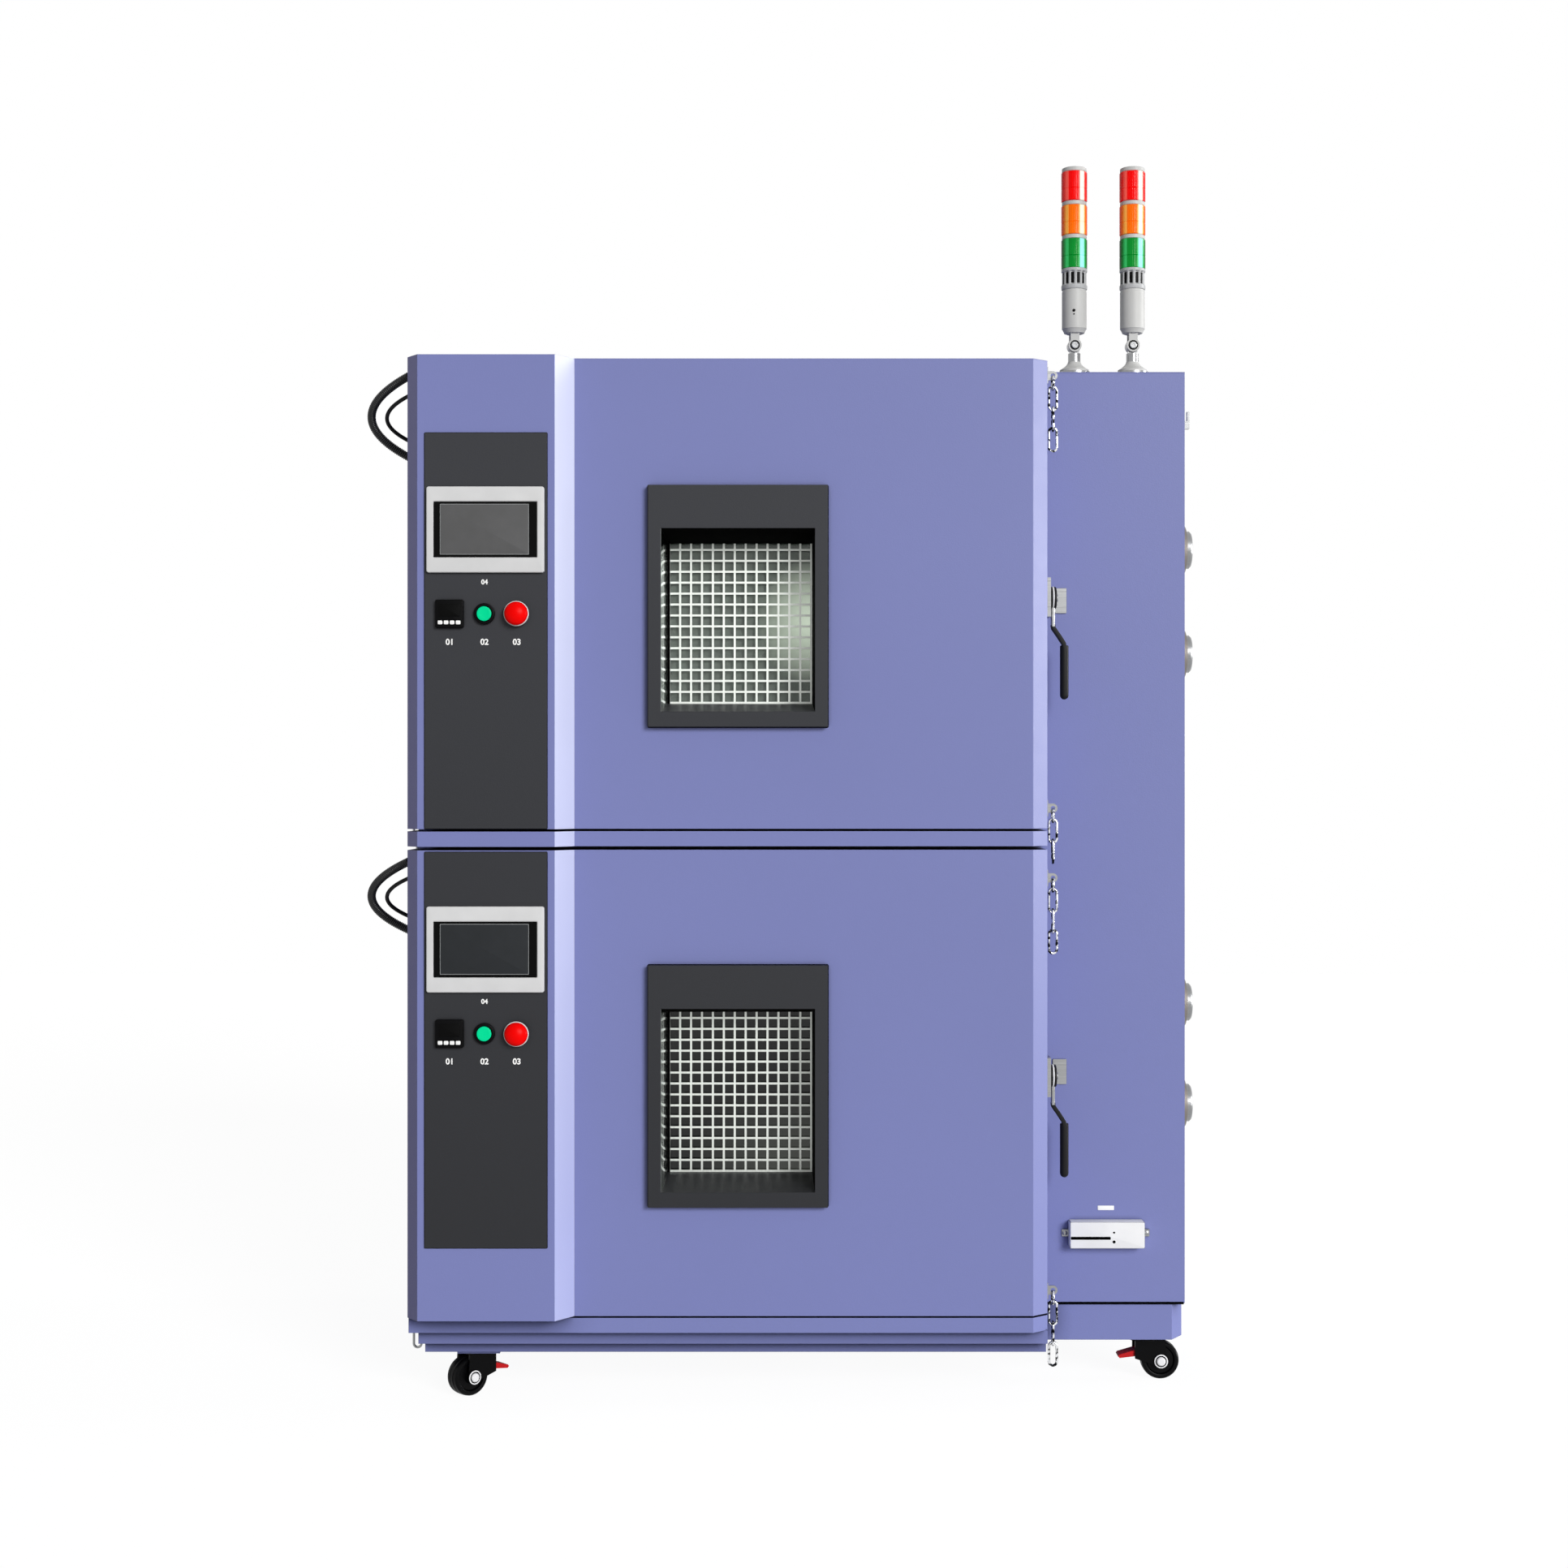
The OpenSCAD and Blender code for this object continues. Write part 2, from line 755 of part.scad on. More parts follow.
module green_button(plate_z) {
    back = green_travel + 0.5;
    color("#12a06a") translate([plate_x + green_in, plate_front_y, plate_z + controls_up])
    rotate([90, 0, 0]) union() {
        translate([0, 0, back]) cylinder(h = collar_t + 2 - back, d = green_d);
        translate([0, 0, -plate_t - stem_l]) cylinder(h = plate_t + stem_l + back + 1, d = stem_d);
    }
}

module stop_button(plate_z) {
    head_z = collar_t + stop_travel + 0.5;
    neck_back = stop_travel + 0.5;
    color("#e01616") translate([plate_x + stop_in, plate_front_y, plate_z + controls_up])
    rotate([90, 0, 0]) union() {
        translate([0, 0, -plate_t - stem_l]) cylinder(h = plate_t + stem_l + neck_back + 1, d = stem_d);
        translate([0, 0, neck_back]) cylinder(h = head_z - neck_back + 1, d = stop_neck_d);
        translate([0, 0, head_z]) rotate_extrude() polygon(concat(
            [[0, 0], [stop_d / 2 - 2, 0], [stop_d / 2, 2]],
            [for (a = [15:15:90])
                [stop_d / 2 * cos(a), 2 + (stop_head_t - 2) * sin(a)]]
        ));
    }
}

// Half of a hinge: the barrel and the leaf that carries it
module door_knuckle(z) {
    difference() {
        union() {
            translate([hinge_x, hinge_y, z]) cylinder(h = knuckle_h, d = barrel_d);
            block([hinge_x - 4, door_back_y - rebate_d, z], [hinge_x + 4, hinge_y, z + knuckle_h]);
        }
        translate([hinge_x, hinge_y, z - 1]) cylinder(h = knuckle_h + 2, d = hinge_pin_d + 2 * run);
    }
}

module cabinet_knuckle(z) {
    union() {
        translate([hinge_x, hinge_y, z]) cylinder(h = knuckle_h, d = barrel_d);
        translate([hinge_x, hinge_y, z + knuckle_h - 1]) cylinder(h = knuckle_h - 4, d = hinge_pin_d);
        block([hinge_x - 4, hinge_y, z], [hinge_x + 4, face_y, z + knuckle_h]);
    }
}

function hinge_zs(z0, h) = [
    for (t = [0, 0.5, 1]) z0 + hinge_end + t * (h - 2 * hinge_end - 2 * knuckle_h - slip)
];

// An eye plate on a side of the machine; side is 1 right, -1 left
module eye_plate(side, y, z) {
    x = side > 0 ? door_right : door_left;
    translate([x, y, z]) union() {
        block([side > 0 ? 0 : -3, -9, -14], [side > 0 ? 3 : 0, 9, 14]);
        difference() {
            union() {
                block(
                    [side > 0 ? 2 : -chain_out, -2, -eye_w / 2],
                    [side > 0 ? chain_out : -2, 2, eye_w / 2]
                );
                rod_y(side * chain_out, -2, 2, 0, eye_w);
            }
            rod_y(side * chain_out, -3, 3, 0, eye_d);
        }
    }
}

// One chain link, standing in XZ, its top bend centred on the origin
module link() {
    r = (link_w - link_wire) / 2;
    straight = link_l - link_w;
    union() {
        rotate([90, 0, 0]) rotate_extrude(angle = 180) translate([r, 0]) circle(d = link_wire, $fn = 24);
        translate([0, 0, -straight]) rotate([-90, 0, 0])
            rotate_extrude(angle = 180) translate([r, 0]) circle(d = link_wire, $fn = 24);
        for (s = [-1, 1])
            translate([s * r, 0, -straight]) cylinder(h = straight, d = link_wire, $fn = 24);
    }
}

// A ring through the eye plate at z and n links below it
module chain(side, y, z, n) {
    r = (link_w - link_wire) / 2;
    ring_r = (chain_ring_d - link_wire) / 2;
    ring_z = z - eye_d / 2 + link_wire / 2 + slip - ring_r;
    top = ring_z - ring_r - r + link_wire + slip;
    translate([(side > 0 ? door_right : door_left) + side * chain_out, y, 0]) {
        translate([0, 0, ring_z]) rotate([0, 90, 0])
            rotate_extrude() translate([ring_r, 0]) circle(d = link_wire, $fn = 24);
        for (i = [0:n - 1])
            translate([0, 0, top - i * chain_pitch]) rotate([0, 0, 90 * (i % 2)]) link();
    }
}

eye_d = 8;
eye_w = 16;
chain_y = door_back_y - chain_in;
side_chain_y = face_y + side_chain_in;
chain_out = 12;
function chain_eyes(z0, h, down) = [z0 + h - down, z0 + chain_up];

module gland(end, d) {
    rod_x(door_left - gland_l, door_left, conduit_mid_y + end[1], end[0], d + 7);
}

module door_fittings(z0, h, pivot_z, down) {
    color(steel) union() {
        block(
            [door_right, pivot_y - escutcheon_w / 2, pivot_z - escutcheon_h / 2],
            [door_right + escutcheon_t, pivot_y + escutcheon_w / 2 - 2, pivot_z + escutcheon_h / 2]
        );
        rod_x(door_right + escutcheon_t - 1, hub_x + hub_t + 3, pivot_y, pivot_z, stud_d);
    }
    color(steel) for (z = hinge_zs(z0, h)) door_knuckle(z + knuckle_h + slip);
    color(steel) for (z = chain_eyes(z0, h, down)) eye_plate(1, chain_y, z);
    color(black) {
        gland(loop_end(z0 + h, conduit_half, -1), conduit_d);
        gland(loop_end(z0 + h, cable_half, -1), cable_d);
    }
}

module door_chains(z0, h, down, bottom_n) {
    eyes = chain_eyes(z0, h, down);
    color(steel) {
        chain(1, chain_y, eyes[0], link_n);
        chain(1, chain_y, eyes[1], bottom_n);
    }
}

// Loops of conduit over the hinge. u runs from -1 at the door's gland to 1 at the cabinet's,
// and the loop is a parabola in a leaning plane. An end is [height, Y from the loop's middle].
conduit_mid_y = (door_back_y + face_y) / 2;
function conduit_mid_z(top) = top - conduit_top - conduit_half * cos(conduit_tilt);
function loop_end(top, half, u) = [
    conduit_mid_z(top) - u * half * cos(conduit_tilt), u * half * sin(conduit_tilt)
];
function loop_point(bulge, half, u) = [
    -bulge * (1 - u * u), u * half * sin(conduit_tilt), -u * half * cos(conduit_tilt)
];
function loop_slope(bulge, half, u) = [
    2 * bulge * u, half * sin(conduit_tilt), -half * cos(conduit_tilt)
];

// A tube swept along the loop, flat at both ends
module loop(bulge, half, d, sides, rings) {
    across = [0, cos(conduit_tilt), sin(conduit_tilt)];
    points = [
        for (i = [0:rings]) let (
            u = -1 + 2 * i / rings,
            t = loop_slope(bulge, half, u) / norm(loop_slope(bulge, half, u)),
            n = abs(u) == 1 ? [0, sin(conduit_tilt), -cos(conduit_tilt)] : cross(across, t)
        )
            for (k = [0:sides - 1])
                loop_point(bulge, half, u)
                    + d / 2 * (cos(360 * k / sides) * across + sin(360 * k / sides) * n)
    ];
    faces = concat(
        [[for (k = [sides - 1:-1:0]) k], [for (k = [0:sides - 1]) rings * sides + k]],
        [for (i = [0:rings - 1], k = [0:sides - 1])
            let (next = (k + 1) % sides)
                [i * sides + k, i * sides + next, (i + 1) * sides + next, (i + 1) * sides + k]]
    );
    polyhedron(points, faces);
}

module conduit(top) {
    color(black) translate([door_left - gland_l, conduit_mid_y, conduit_mid_z(top)]) {
        loop(conduit_bulge, conduit_half, conduit_d, 12, 16);
        loop(cable_bulge, cable_half, cable_d, 8, 12);
    }
}

// Lever: hub on the stud, steel arm with its bend, round grip, and the tongue under the latch pin
module handle(pivot_z) {
    grip_x = hub_x + hub_t / 2 + grip_out;
    arm_x = hub_x + hub_t / 2 - arm_t / 2;
    color(black) translate([0, pivot_y, pivot_z]) difference() {
        union() {
            rod_x(hub_x, hub_x + hub_t, 0, 0, hub_d);
            translate([0, arm_w / 2, 0]) rotate([90, 0, 0]) linear_extrude(arm_w) polygon([
                [arm_x, 0], [arm_x + arm_t, 0], [arm_x + arm_t, -arm_drop + 2],
                [grip_x + arm_t / 2, -grip_drop + 2], [grip_x + arm_t / 2, -grip_drop - 6],
                [grip_x - arm_t / 2, -grip_drop - 6], [grip_x - arm_t / 2, -grip_drop],
                [arm_x, -arm_drop]
            ]);
            translate([grip_x, 0, -grip_drop - grip_l]) cylinder(h = grip_l, d = grip_d);
            translate([grip_x, 0, -grip_drop - grip_l]) sphere(d = grip_d);
            block(
                [arm_x, 0, -latch_pin_d / 2 - 0.5 - 8],
                [arm_x + arm_t, pivot_in + 4, -latch_pin_d / 2 - 0.5]
            );
        }
        rod_x(hub_x - 1, hub_x + hub_t + 1, 0, 0, stud_d + 2 * run);
    }
}

// Cabinet

module side_panels() {
    color(paint) {
        block(
            [door_left, face_y + face_t, slab_top],
            [door_left + sheet_t, cab_back_y - sheet_t, cab_top - sheet_t]
        );
        difference() {
            block(
                [bay_right - sheet_t, bay_front_y + sheet_t, bay_seam_z],
                [bay_right, cab_back_y - sheet_t, cab_top - sheet_t]
            );
            for (z = port_zs)
                rod_x(bay_right - sheet_t - 1, bay_right + 1, face_y + port_y, z, port_tube_d + 2 * slip);
        }
    }
    color(steel) difference() {
        block(
            [door_right - sheet_t, face_y + face_t, slab_top],
            [door_right, cab_back_y - sheet_t, cab_top - sheet_t]
        );
        for (z = port_zs)
            rod_x(door_right - sheet_t - 1, door_right + 1, face_y + port_y, z, port_tube_d + 2 * slip);
        for (z = fan_zs)
            rod_x(door_right - sheet_t - 1, door_right + 1, face_y + fan_y, z, fan_shaft_d + 4);
    }
}

fan_zs = [upper_chamber_z + chamber_h / 2, lower_chamber_z + chamber_h / 2];

module roof_panel() {
    color(paint) extrude_at(cab_top - sheet_t, sheet_t) polygon([
        [door_left, face_y], [door_right, face_y], [door_right, bay_front_y],
        [bay_right, bay_front_y], [bay_right, cab_back_y], [door_left, cab_back_y]
    ]);
}

// Sheets round the two hatch openings, and the louvred door of the service bay
module rear_panel() {
    y = cab_back_y - sheet_t;
    top = cab_top - sheet_t;
    g = tier_gap;
    left = hatch_x - hatch_w / 2 + hatch_lap;
    right = hatch_x + hatch_w / 2 - hatch_lap;
    hole_h = hatch_h - 2 * hatch_lap;
    lower = lower_chamber_z + hatch_up;
    upper = upper_chamber_z + hatch_up;
    color(paint) {
        difference() {
            block([door_left, y, slab_top], [left, cab_back_y, top]);
            for (z = [upper_chamber_z, lower_chamber_z])
                rod_y(spigot_x, y - 1, y + 9, z + spigot_z_up, spigot_d + 2 * spigot_wall + 2 * slip);
        }
        for (zs = [[slab_top, lower], [lower + hole_h, upper], [upper + hole_h, top]])
            block([left + g, y, zs[0]], [right - g, cab_back_y, zs[1]]);
        block([right, y, slab_top], [door_right - g, cab_back_y, top]);
        difference() {
            block([door_right, y, slab_top], [bay_right, cab_back_y, top]);
            for (z = [upper_chamber_z, lower_chamber_z], i = [0:louvre_n - 1])
                block(
                    [door_right + louvre_in, y - 1, z + louvre_up + i * louvre_pitch],
                    [bay_right - louvre_in, y + 9, z + louvre_up + i * louvre_pitch + louvre_h]
                );
        }
    }
}
louvre_n = 8;
louvre_in = 53;
louvre_up = 60;
louvre_pitch = 22;
louvre_h = 6;

module service_panel() {
    color(paint)
        block([door_right, bay_front_y, bay_seam_z], [bay_right, bay_front_y + sheet_t, cab_top - sheet_t]);
}

// Painted face round the two mouths, with the rail between the doors
module front_frame() {
    color(steel) difference() {
        block([door_left, face_y, slab_top], [door_right, face_y + face_t, cab_top - sheet_t]);
        for (z = [upper_chamber_z, lower_chamber_z])
            block(
                [chamber_left - liner_t, face_y - 1, z - liner_t],
                [chamber_right + liner_t, face_y + face_t + 1, z + chamber_h + liner_t]
            );
    }
    color(paint) difference() {
        extrude_at(mid_rail_z, mid_rail_h) polygon(front_plan(face_y, 0, 0, 0));
        extrude_at(mid_rail_z + door_skin, mid_rail_h - 2 * door_skin)
            polygon(front_plan(face_y, 0, 0, door_skin));
    }
}

// A rectangle between two corners
module area(x0, y0, x1, y1) {
    translate([x0, y0]) square([x1 - x0, y1 - y0]);
}

// A ring of closed channel with an open middle
module ring(x0, y0, x1, y1, z, h) {
    w = channel_w;
    t = base_skin;
    difference() {
        extrude_at(z, h) difference() {
            area(x0, y0, x1, y1);
            area(x0 + w, y0 + w, x1 - w, y1 - w);
        }
        extrude_at(z + t, h - 2 * t) difference() {
            area(x0 + t, y0 + t, x1 - t, y1 - t);
            area(x0 + w - t, y0 + w - t, x1 - w + t, y1 - w + t);
        }
    }
}

// Plans of the floor slab and of the plinth under the service bay, t inside their outlines
function slab_plan(t) = [
    [door_left + t, cab_back_y - t], [door_left + t, door_front_y + t],
    [door_right - right_chamfer_w - t / 2, door_front_y + t],
    [door_right - t, door_front_y + right_chamfer_d + t / 2], [door_right - t, cab_back_y - t]
];
function plinth_plan(t) = [
    [door_right + t, bay_front_y + t], [bay_right - bay_chamfer_w - t / 2, bay_front_y + t],
    [bay_right - t, bay_front_y + bay_chamfer_d + t / 2], [bay_right - t, cab_back_y - t],
    [door_right + t, cab_back_y - t]
];

module base_frame() {
    t = base_skin;
    color(paint) union() {
        difference() {
            extrude_at(slab_z, slab_h) polygon(slab_plan(0));
            extrude_at(slab_z + t, slab_h - 2 * t) polygon(slab_plan(t));
        }
        ring(
            door_left + side_skirt_in, door_front_y + upper_skirt_in, door_right, cab_back_y - 10,
            base_z + skirt_h, upper_skirt_h
        );
        ring(
            door_left + side_skirt_in + 8, door_front_y + skirt_in, door_right, cab_back_y - 20,
            base_z, skirt_h
        );
        difference() {
            extrude_at(base_z, bay_seam_z - base_z) polygon(plinth_plan(0));
            extrude_at(base_z + t, bay_seam_z - base_z - 2 * t) polygon(plinth_plan(t));
        }
    }
    color(black) for (c = caster_places) caster_plate(c[0], c[1]);
}

caster_places = [
    [caster_left, door_front_y + caster_front_left], [caster_right, bay_front_y + caster_front_right],
    [caster_left, cab_back_y - caster_rear], [caster_right, cab_back_y - caster_rear]
];

module caster_plate(x, y) {
    half = swivel_d / 2 + 10;
    union() {
        block([x - half, y - half, base_z - caster_plate_t], [x + half, y + half, base_z]);
        translate([x, y, crown_top + slip]) cylinder(h = race_t - slip + 1, d = swivel_d - 8);
        translate([x, y, crown_top - fork_t]) cylinder(h = fork_t + race_t + 1, d = kingpin_d);
    }
}

// Stainless sheets of one chamber, with the perforated air duct on its right wall
module chamber(z) {
    t = liner_t;
    top = z + chamber_h;
    axis_y = face_y + fan_y;
    axis_z = z + chamber_h / 2;
    slot_z = z + hatch_up + slot_up;
    g = tier_gap;
    block([chamber_left - t, face_y, z + g], [chamber_left, chamber_back_y - g, top - g]);
    difference() {
        block([chamber_right, face_y, z + g], [chamber_right + t, chamber_back_y - g, top - g]);
        for (p = port_zs)
            rod_x(chamber_right - 1, chamber_right + t + 1, face_y + port_y, p, port_tube_d + 2 * slip);
        rod_x(chamber_right - 1, chamber_right + t + 1, axis_y, axis_z, fan_shaft_d + 4);
    }
    block([chamber_left - t, face_y, z - t], [chamber_right + t, chamber_back_y - g, z]);
    block([chamber_left - t, face_y, top], [chamber_right + t, chamber_back_y - g, top + t]);
    difference() {
        block([chamber_left - t, chamber_back_y, z - t], [chamber_right + t, chamber_back_y + t, top + t]);
        rod_y(
            spigot_x,
            chamber_back_y - 1,
            chamber_back_y + t + 1,
            z + spigot_z_up,
            spigot_d + 2 * spigot_wall + 2 * slip
        );
        for (i = [0:slot_n - 1])
            block(
                [hatch_x - slot_w / 2, chamber_back_y - 1, slot_z + i * slot_pitch],
                [hatch_x + slot_w / 2, chamber_back_y + t + 1, slot_z + i * slot_pitch + slot_h]
            );
    }
    duct(z + (chamber_h - duct_h) / 2, axis_y, axis_z);
}

// Slots in the back wall of a chamber, in front of the hatch duct
slot_n = 6;
slot_w = 240;
slot_h = 12;
slot_up = 22;
slot_pitch = 32;

module duct(z, axis_y, axis_z) {
    x0 = chamber_right - duct_w;
    y0 = face_y + duct_y;
    y1 = y0 + duct_d;
    g = tier_gap;
    rows = floor((duct_h - air_hole_pitch) / 2 / air_hole_pitch);
    cols = floor((duct_d - air_hole_pitch) / 2 / air_hole_pitch);
    difference() {
        block([x0, y0, z], [x0 + duct_t, y1, z + duct_h]);
        rod_x(x0 - 1, x0 + duct_t + 1, axis_y, axis_z, inlet_d);
        for (i = [-cols:cols], k = [-rows:rows])
            if (norm([i, k]) * air_hole_pitch > inlet_d / 2 + air_hole_d)
                rod_x(
                    x0 - 1,
                    x0 + duct_t + 1,
                    (y0 + y1) / 2 + i * air_hole_pitch,
                    axis_z + k * air_hole_pitch,
                    air_hole_d
                );
    }
    xs = [x0 + duct_t + g, chamber_right - g];
    block([xs[0], y0, z], [xs[1], y0 + duct_t, z + duct_h]);
    block([xs[0], y1 - duct_t, z], [xs[1], y1, z + duct_h]);
    block([xs[0], y0 + duct_t + g, z], [xs[1], y1 - duct_t - g, z + duct_t]);
    block([xs[0], y0 + duct_t + g, z + duct_h - duct_t], [xs[1], y1 - duct_t - g, z + duct_h]);
}

module chamber_liners() {
    color(steel) for (z = [upper_chamber_z, lower_chamber_z]) chamber(z);
}

// Ladder racks: two posts and a row of rails on each side of a chamber. The rails stand further
// in than the posts and carry the shelf, which passes between the posts.
module rack(x0, x1, rail_shift, z) {
    y0 = face_y + rack_y;
    g = tier_gap;
    for (y = [y0, y0 + rack_d - rack_bar])
        block([x0, y, z + g], [x1, y + rack_bar, z + chamber_h - g]);
    for (i = [0:rail_n - 1])
        block(
            [min(x0, x0 + rail_shift), y0 + rack_bar + g, z + rail_up + i * rail_pitch],
            [max(x1, x1 + rail_shift), y0 + rack_d - rack_bar - g, z + rail_up + i * rail_pitch + rack_bar]
        );
}

module shelf_racks() {
    color(steel) for (z = [upper_chamber_z, lower_chamber_z]) {
        rack(chamber_left + tier_gap, chamber_left + rack_bar, rail_in, z);
        rack(rack_right - rack_bar, rack_right, -rail_in, z);
    }
}

module shelf(z) {
    x0 = chamber_left + rack_bar + 2 * slip;
    x1 = rack_right - rack_bar - 2 * slip;
    y0 = face_y + rack_y + rack_bar + slip;
    zs = z + shelf_z_up;
    d = shelf_rod_d;
    y1 = y0 + shelf_d - 2 * rack_bar;
    color(steel) union() {
        for (x = [x0 + d / 2, x1 - d / 2]) rod_y(x, y0, y1, zs + d / 2, d);
        for (i = [0:shelf_rods - 1])
            rod_x(x0, x1, y0 + d / 2 + i * (y1 - y0 - d) / (shelf_rods - 1), zs + d / 2, d);
    }
}

module insulation() {
    t = liner_t;
    x0 = door_left + sheet_t;
    x1 = door_right - sheet_t;
    y0 = face_y + face_t;
    y1 = cab_back_y - sheet_t;
    yb = chamber_back_y + t;
    upper_top = upper_chamber_z + chamber_h + t;
    lower_top = lower_chamber_z + chamber_h + t;
    color("#d9cfa8") {
        block([x0, y0, slab_top], [chamber_left - t, yb, cab_top - sheet_t]);
        difference() {
            block([chamber_right + t, y0, slab_top], [x1, yb, cab_top - sheet_t]);
            for (z = port_zs) rod_x(chamber_right, x1 + 1, face_y + port_y, z, port_tube_d + 2 * slip);
            for (z = fan_zs) rod_x(chamber_right, x1 + 1, face_y + fan_y, z, fan_shaft_d + 4);
        }
        block([chamber_left - t, y0, upper_top], [chamber_right + t, yb, cab_top - sheet_t]);
        block([chamber_left - t, y0, lower_top], [chamber_right + t, yb, upper_chamber_z - t]);
        block([chamber_left - t, y0, slab_top], [chamber_right + t, yb, lower_chamber_z - t]);
        difference() {
            block([x0, yb, slab_top], [x1, y1, cab_top - sheet_t]);
            for (z = [upper_chamber_z, lower_chamber_z]) {
                block(
                    [hatch_x - hatch_w / 2 + hatch_lap, yb - 1, z + hatch_up],
                    [hatch_x + hatch_w / 2 - hatch_lap, y1 + 1, z + hatch_up + hatch_h - 2 * hatch_lap]
                );
                rod_y(spigot_x, yb - 1, y1 + 1, z + spigot_z_up, spigot_d + 2 * spigot_wall + 2 * slip);
            }
        }
    }
}

// Flameproof fan motors in the service bay
module fan_motors() {
    x0 = door_right;
    body_x = x0 + motor_flange_t + 20;
    color("#6d7478") for (z = fan_zs) difference() {
        union() {
            block(
                [x0, face_y + fan_y - motor_d / 2, z - motor_d / 2],
                [x0 + motor_flange_t, face_y + fan_y + motor_d / 2, z + motor_d / 2]
            );
            rod_x(x0, body_x + 1, face_y + fan_y, z, motor_d * 0.6);
            rod_x(body_x, body_x + motor_l, face_y + fan_y, z, motor_d * 0.86);
            for (i = [0:fin_n - 1])
                rod_x(body_x + 8 + i * 16, body_x + 12 + i * 16, face_y + fan_y, z, motor_d);
        }
        rod_x(x0 - 1, x0 + 61, face_y + fan_y, z, fan_shaft_d + 2 * run);
    }
}

module fan(z) {
    shaft_end = door_right + 60 - slip;
    plate_x = fan_x + blade_h;
    color(steel) translate([0, face_y + fan_y, z]) union() {
        rod_x(fan_x, shaft_end, 0, 0, fan_shaft_d);
        rod_x(plate_x, plate_x + fan_plate_t, 0, 0, fan_d);
        rod_x(fan_x + 4, plate_x + 1, 0, 0, fan_shaft_d + 24);
        for (i = [0:blade_n - 1])
            rotate([i * 360 / blade_n, 0, 0]) translate([fan_x, fan_d / 2 - 30, 0]) rotate([35, 0, 0])
                translate([0, -15, -1.25]) cube([blade_h + 1, 36, 2.5]);
    }
}

// Side ports from the chamber through the service bay, and the exhaust spigots at the back
port_lip_d = 84;
port_lip_t = 2;
module port_tubes() {
    color(steel) {
        for (z = port_zs) translate([0, face_y + port_y, z]) difference() {
            union() {
                rod_x(chamber_right - port_lip_t, port_front_x, 0, 0, port_tube_d);
                rod_x(chamber_right - port_lip_t, chamber_right, 0, 0, port_lip_d);
                rod_x(bay_right, bay_right + port_flange_t, 0, 0, port_flange_d);
                translate([bay_right + port_flange_t, 0, 0]) rotate([0, 90, 0])
                    cylinder(h = clamp_t, d1 = clamp_d, d2 = clamp_d - 12);
            }
            rod_x(chamber_right - port_lip_t - 1, port_front_x + 1, 0, 0, port_bore_d);
        }
        for (z = [upper_chamber_z, lower_chamber_z]) translate([spigot_x, 0, z + spigot_z_up]) difference() {
            union() {
                rod_y(0, chamber_back_y, cab_back_y + spigot_out, 0, spigot_d + 2 * spigot_wall);
                rod_y(0, cab_back_y, cab_back_y + 4, 0, spigot_d + 2 * spigot_wall + 36);
            }
            rod_y(0, chamber_back_y - 1, cab_back_y + spigot_out + 1, 0, spigot_d);
        }
    }
}

module port_cap(i) {
    color(steel) translate([port_front_x, face_y + port_y, port_zs[i - 1]]) rotate([0, 90, 0])
    rotate_extrude() polygon([
        [0, -cap_plug], [port_bore_d / 2 - run, -cap_plug], [port_bore_d / 2 - run, 0],
        [cap_d / 2, 0], [cap_d / 2, cap_t - 3], [cap_d / 2 - 3, cap_t], [0, cap_t]
    ]);
}

// Relief hatch: a lid over the duct through the rear insulation, hung at its top edge
hatch_pin_d = 8;
function hatch_top(z) = z + hatch_up + hatch_h - hatch_lap;
module relief_hatch(z) {
    bottom = z + hatch_up - hatch_lap;
    color(paint) difference() {
        union() {
            block(
                [hatch_x - hatch_w / 2, cab_back_y + slip, bottom],
                [hatch_x + hatch_w / 2, cab_back_y + hatch_t, hatch_top(z)]
            );
            for (s = [-1, 1])
                rod_x(
                    hatch_x + s * hatch_w / 4 - 20,
                    hatch_x + s * hatch_w / 4 + 20,
                    hatch_pivot_y,
                    hatch_top(z),
                    hatch_t
                );
        }
        rod_x(
            hatch_x - hatch_w / 2 - 1,
            hatch_x + hatch_w / 2 + 1,
            hatch_pivot_y,
            hatch_top(z),
            hatch_pin_d + 2 * run
        );
        for (s = [-1, 1])
            block(
                [hatch_x + s * hatch_w / 4 + 20, cab_back_y - 1, hatch_top(z) - hatch_t],
                [hatch_x + s * hatch_w / 4 + 32, cab_back_y + hatch_t + 9, hatch_top(z) + 9]
            );
    }
}
hatch_pivot_y = cab_back_y + hatch_t / 2 + slip;

module hatch_hinge(z) {
    for (s = [-1, 1]) {
        x = hatch_x + s * hatch_w / 4;
        union() {
            rod_x(x - 19, x + 31, hatch_pivot_y, hatch_top(z), hatch_pin_d);
            block(
                [x + 21, cab_back_y, hatch_top(z) - 5],
                [x + 31, hatch_pivot_y + hatch_pin_d / 2, hatch_top(z) + 24]
            );
        }
    }
}

module cabinet_fittings() {
    color(steel) {
        for (d = [[upper_door_z, upper_door_h], [lower_door_z, lower_door_h]])
            for (z = hinge_zs(d[0], d[1])) cabinet_knuckle(z);
        for (z = [upper_pivot_z, lower_pivot_z]) keeper(z);
        for (z = [upper_chamber_z, lower_chamber_z]) hatch_hinge(z);
        for (x = tower_x) tower_base(x);
        side_hook();
        for (z = [upper_door_z + chain_up, lower_door_z + chain_up]) {
            eye_plate(-1, side_chain_y, z);
            chain(-1, side_chain_y, z, link_n);
        }
    }
    color(black) for (top = [upper_door_z + upper_door_h, lower_door_z + lower_door_h]) {
        gland(loop_end(top, conduit_half, 1), conduit_d);
        gland(loop_end(top, cable_half, 1), cable_d);
    }
    color("#eceef0") service_box();
}

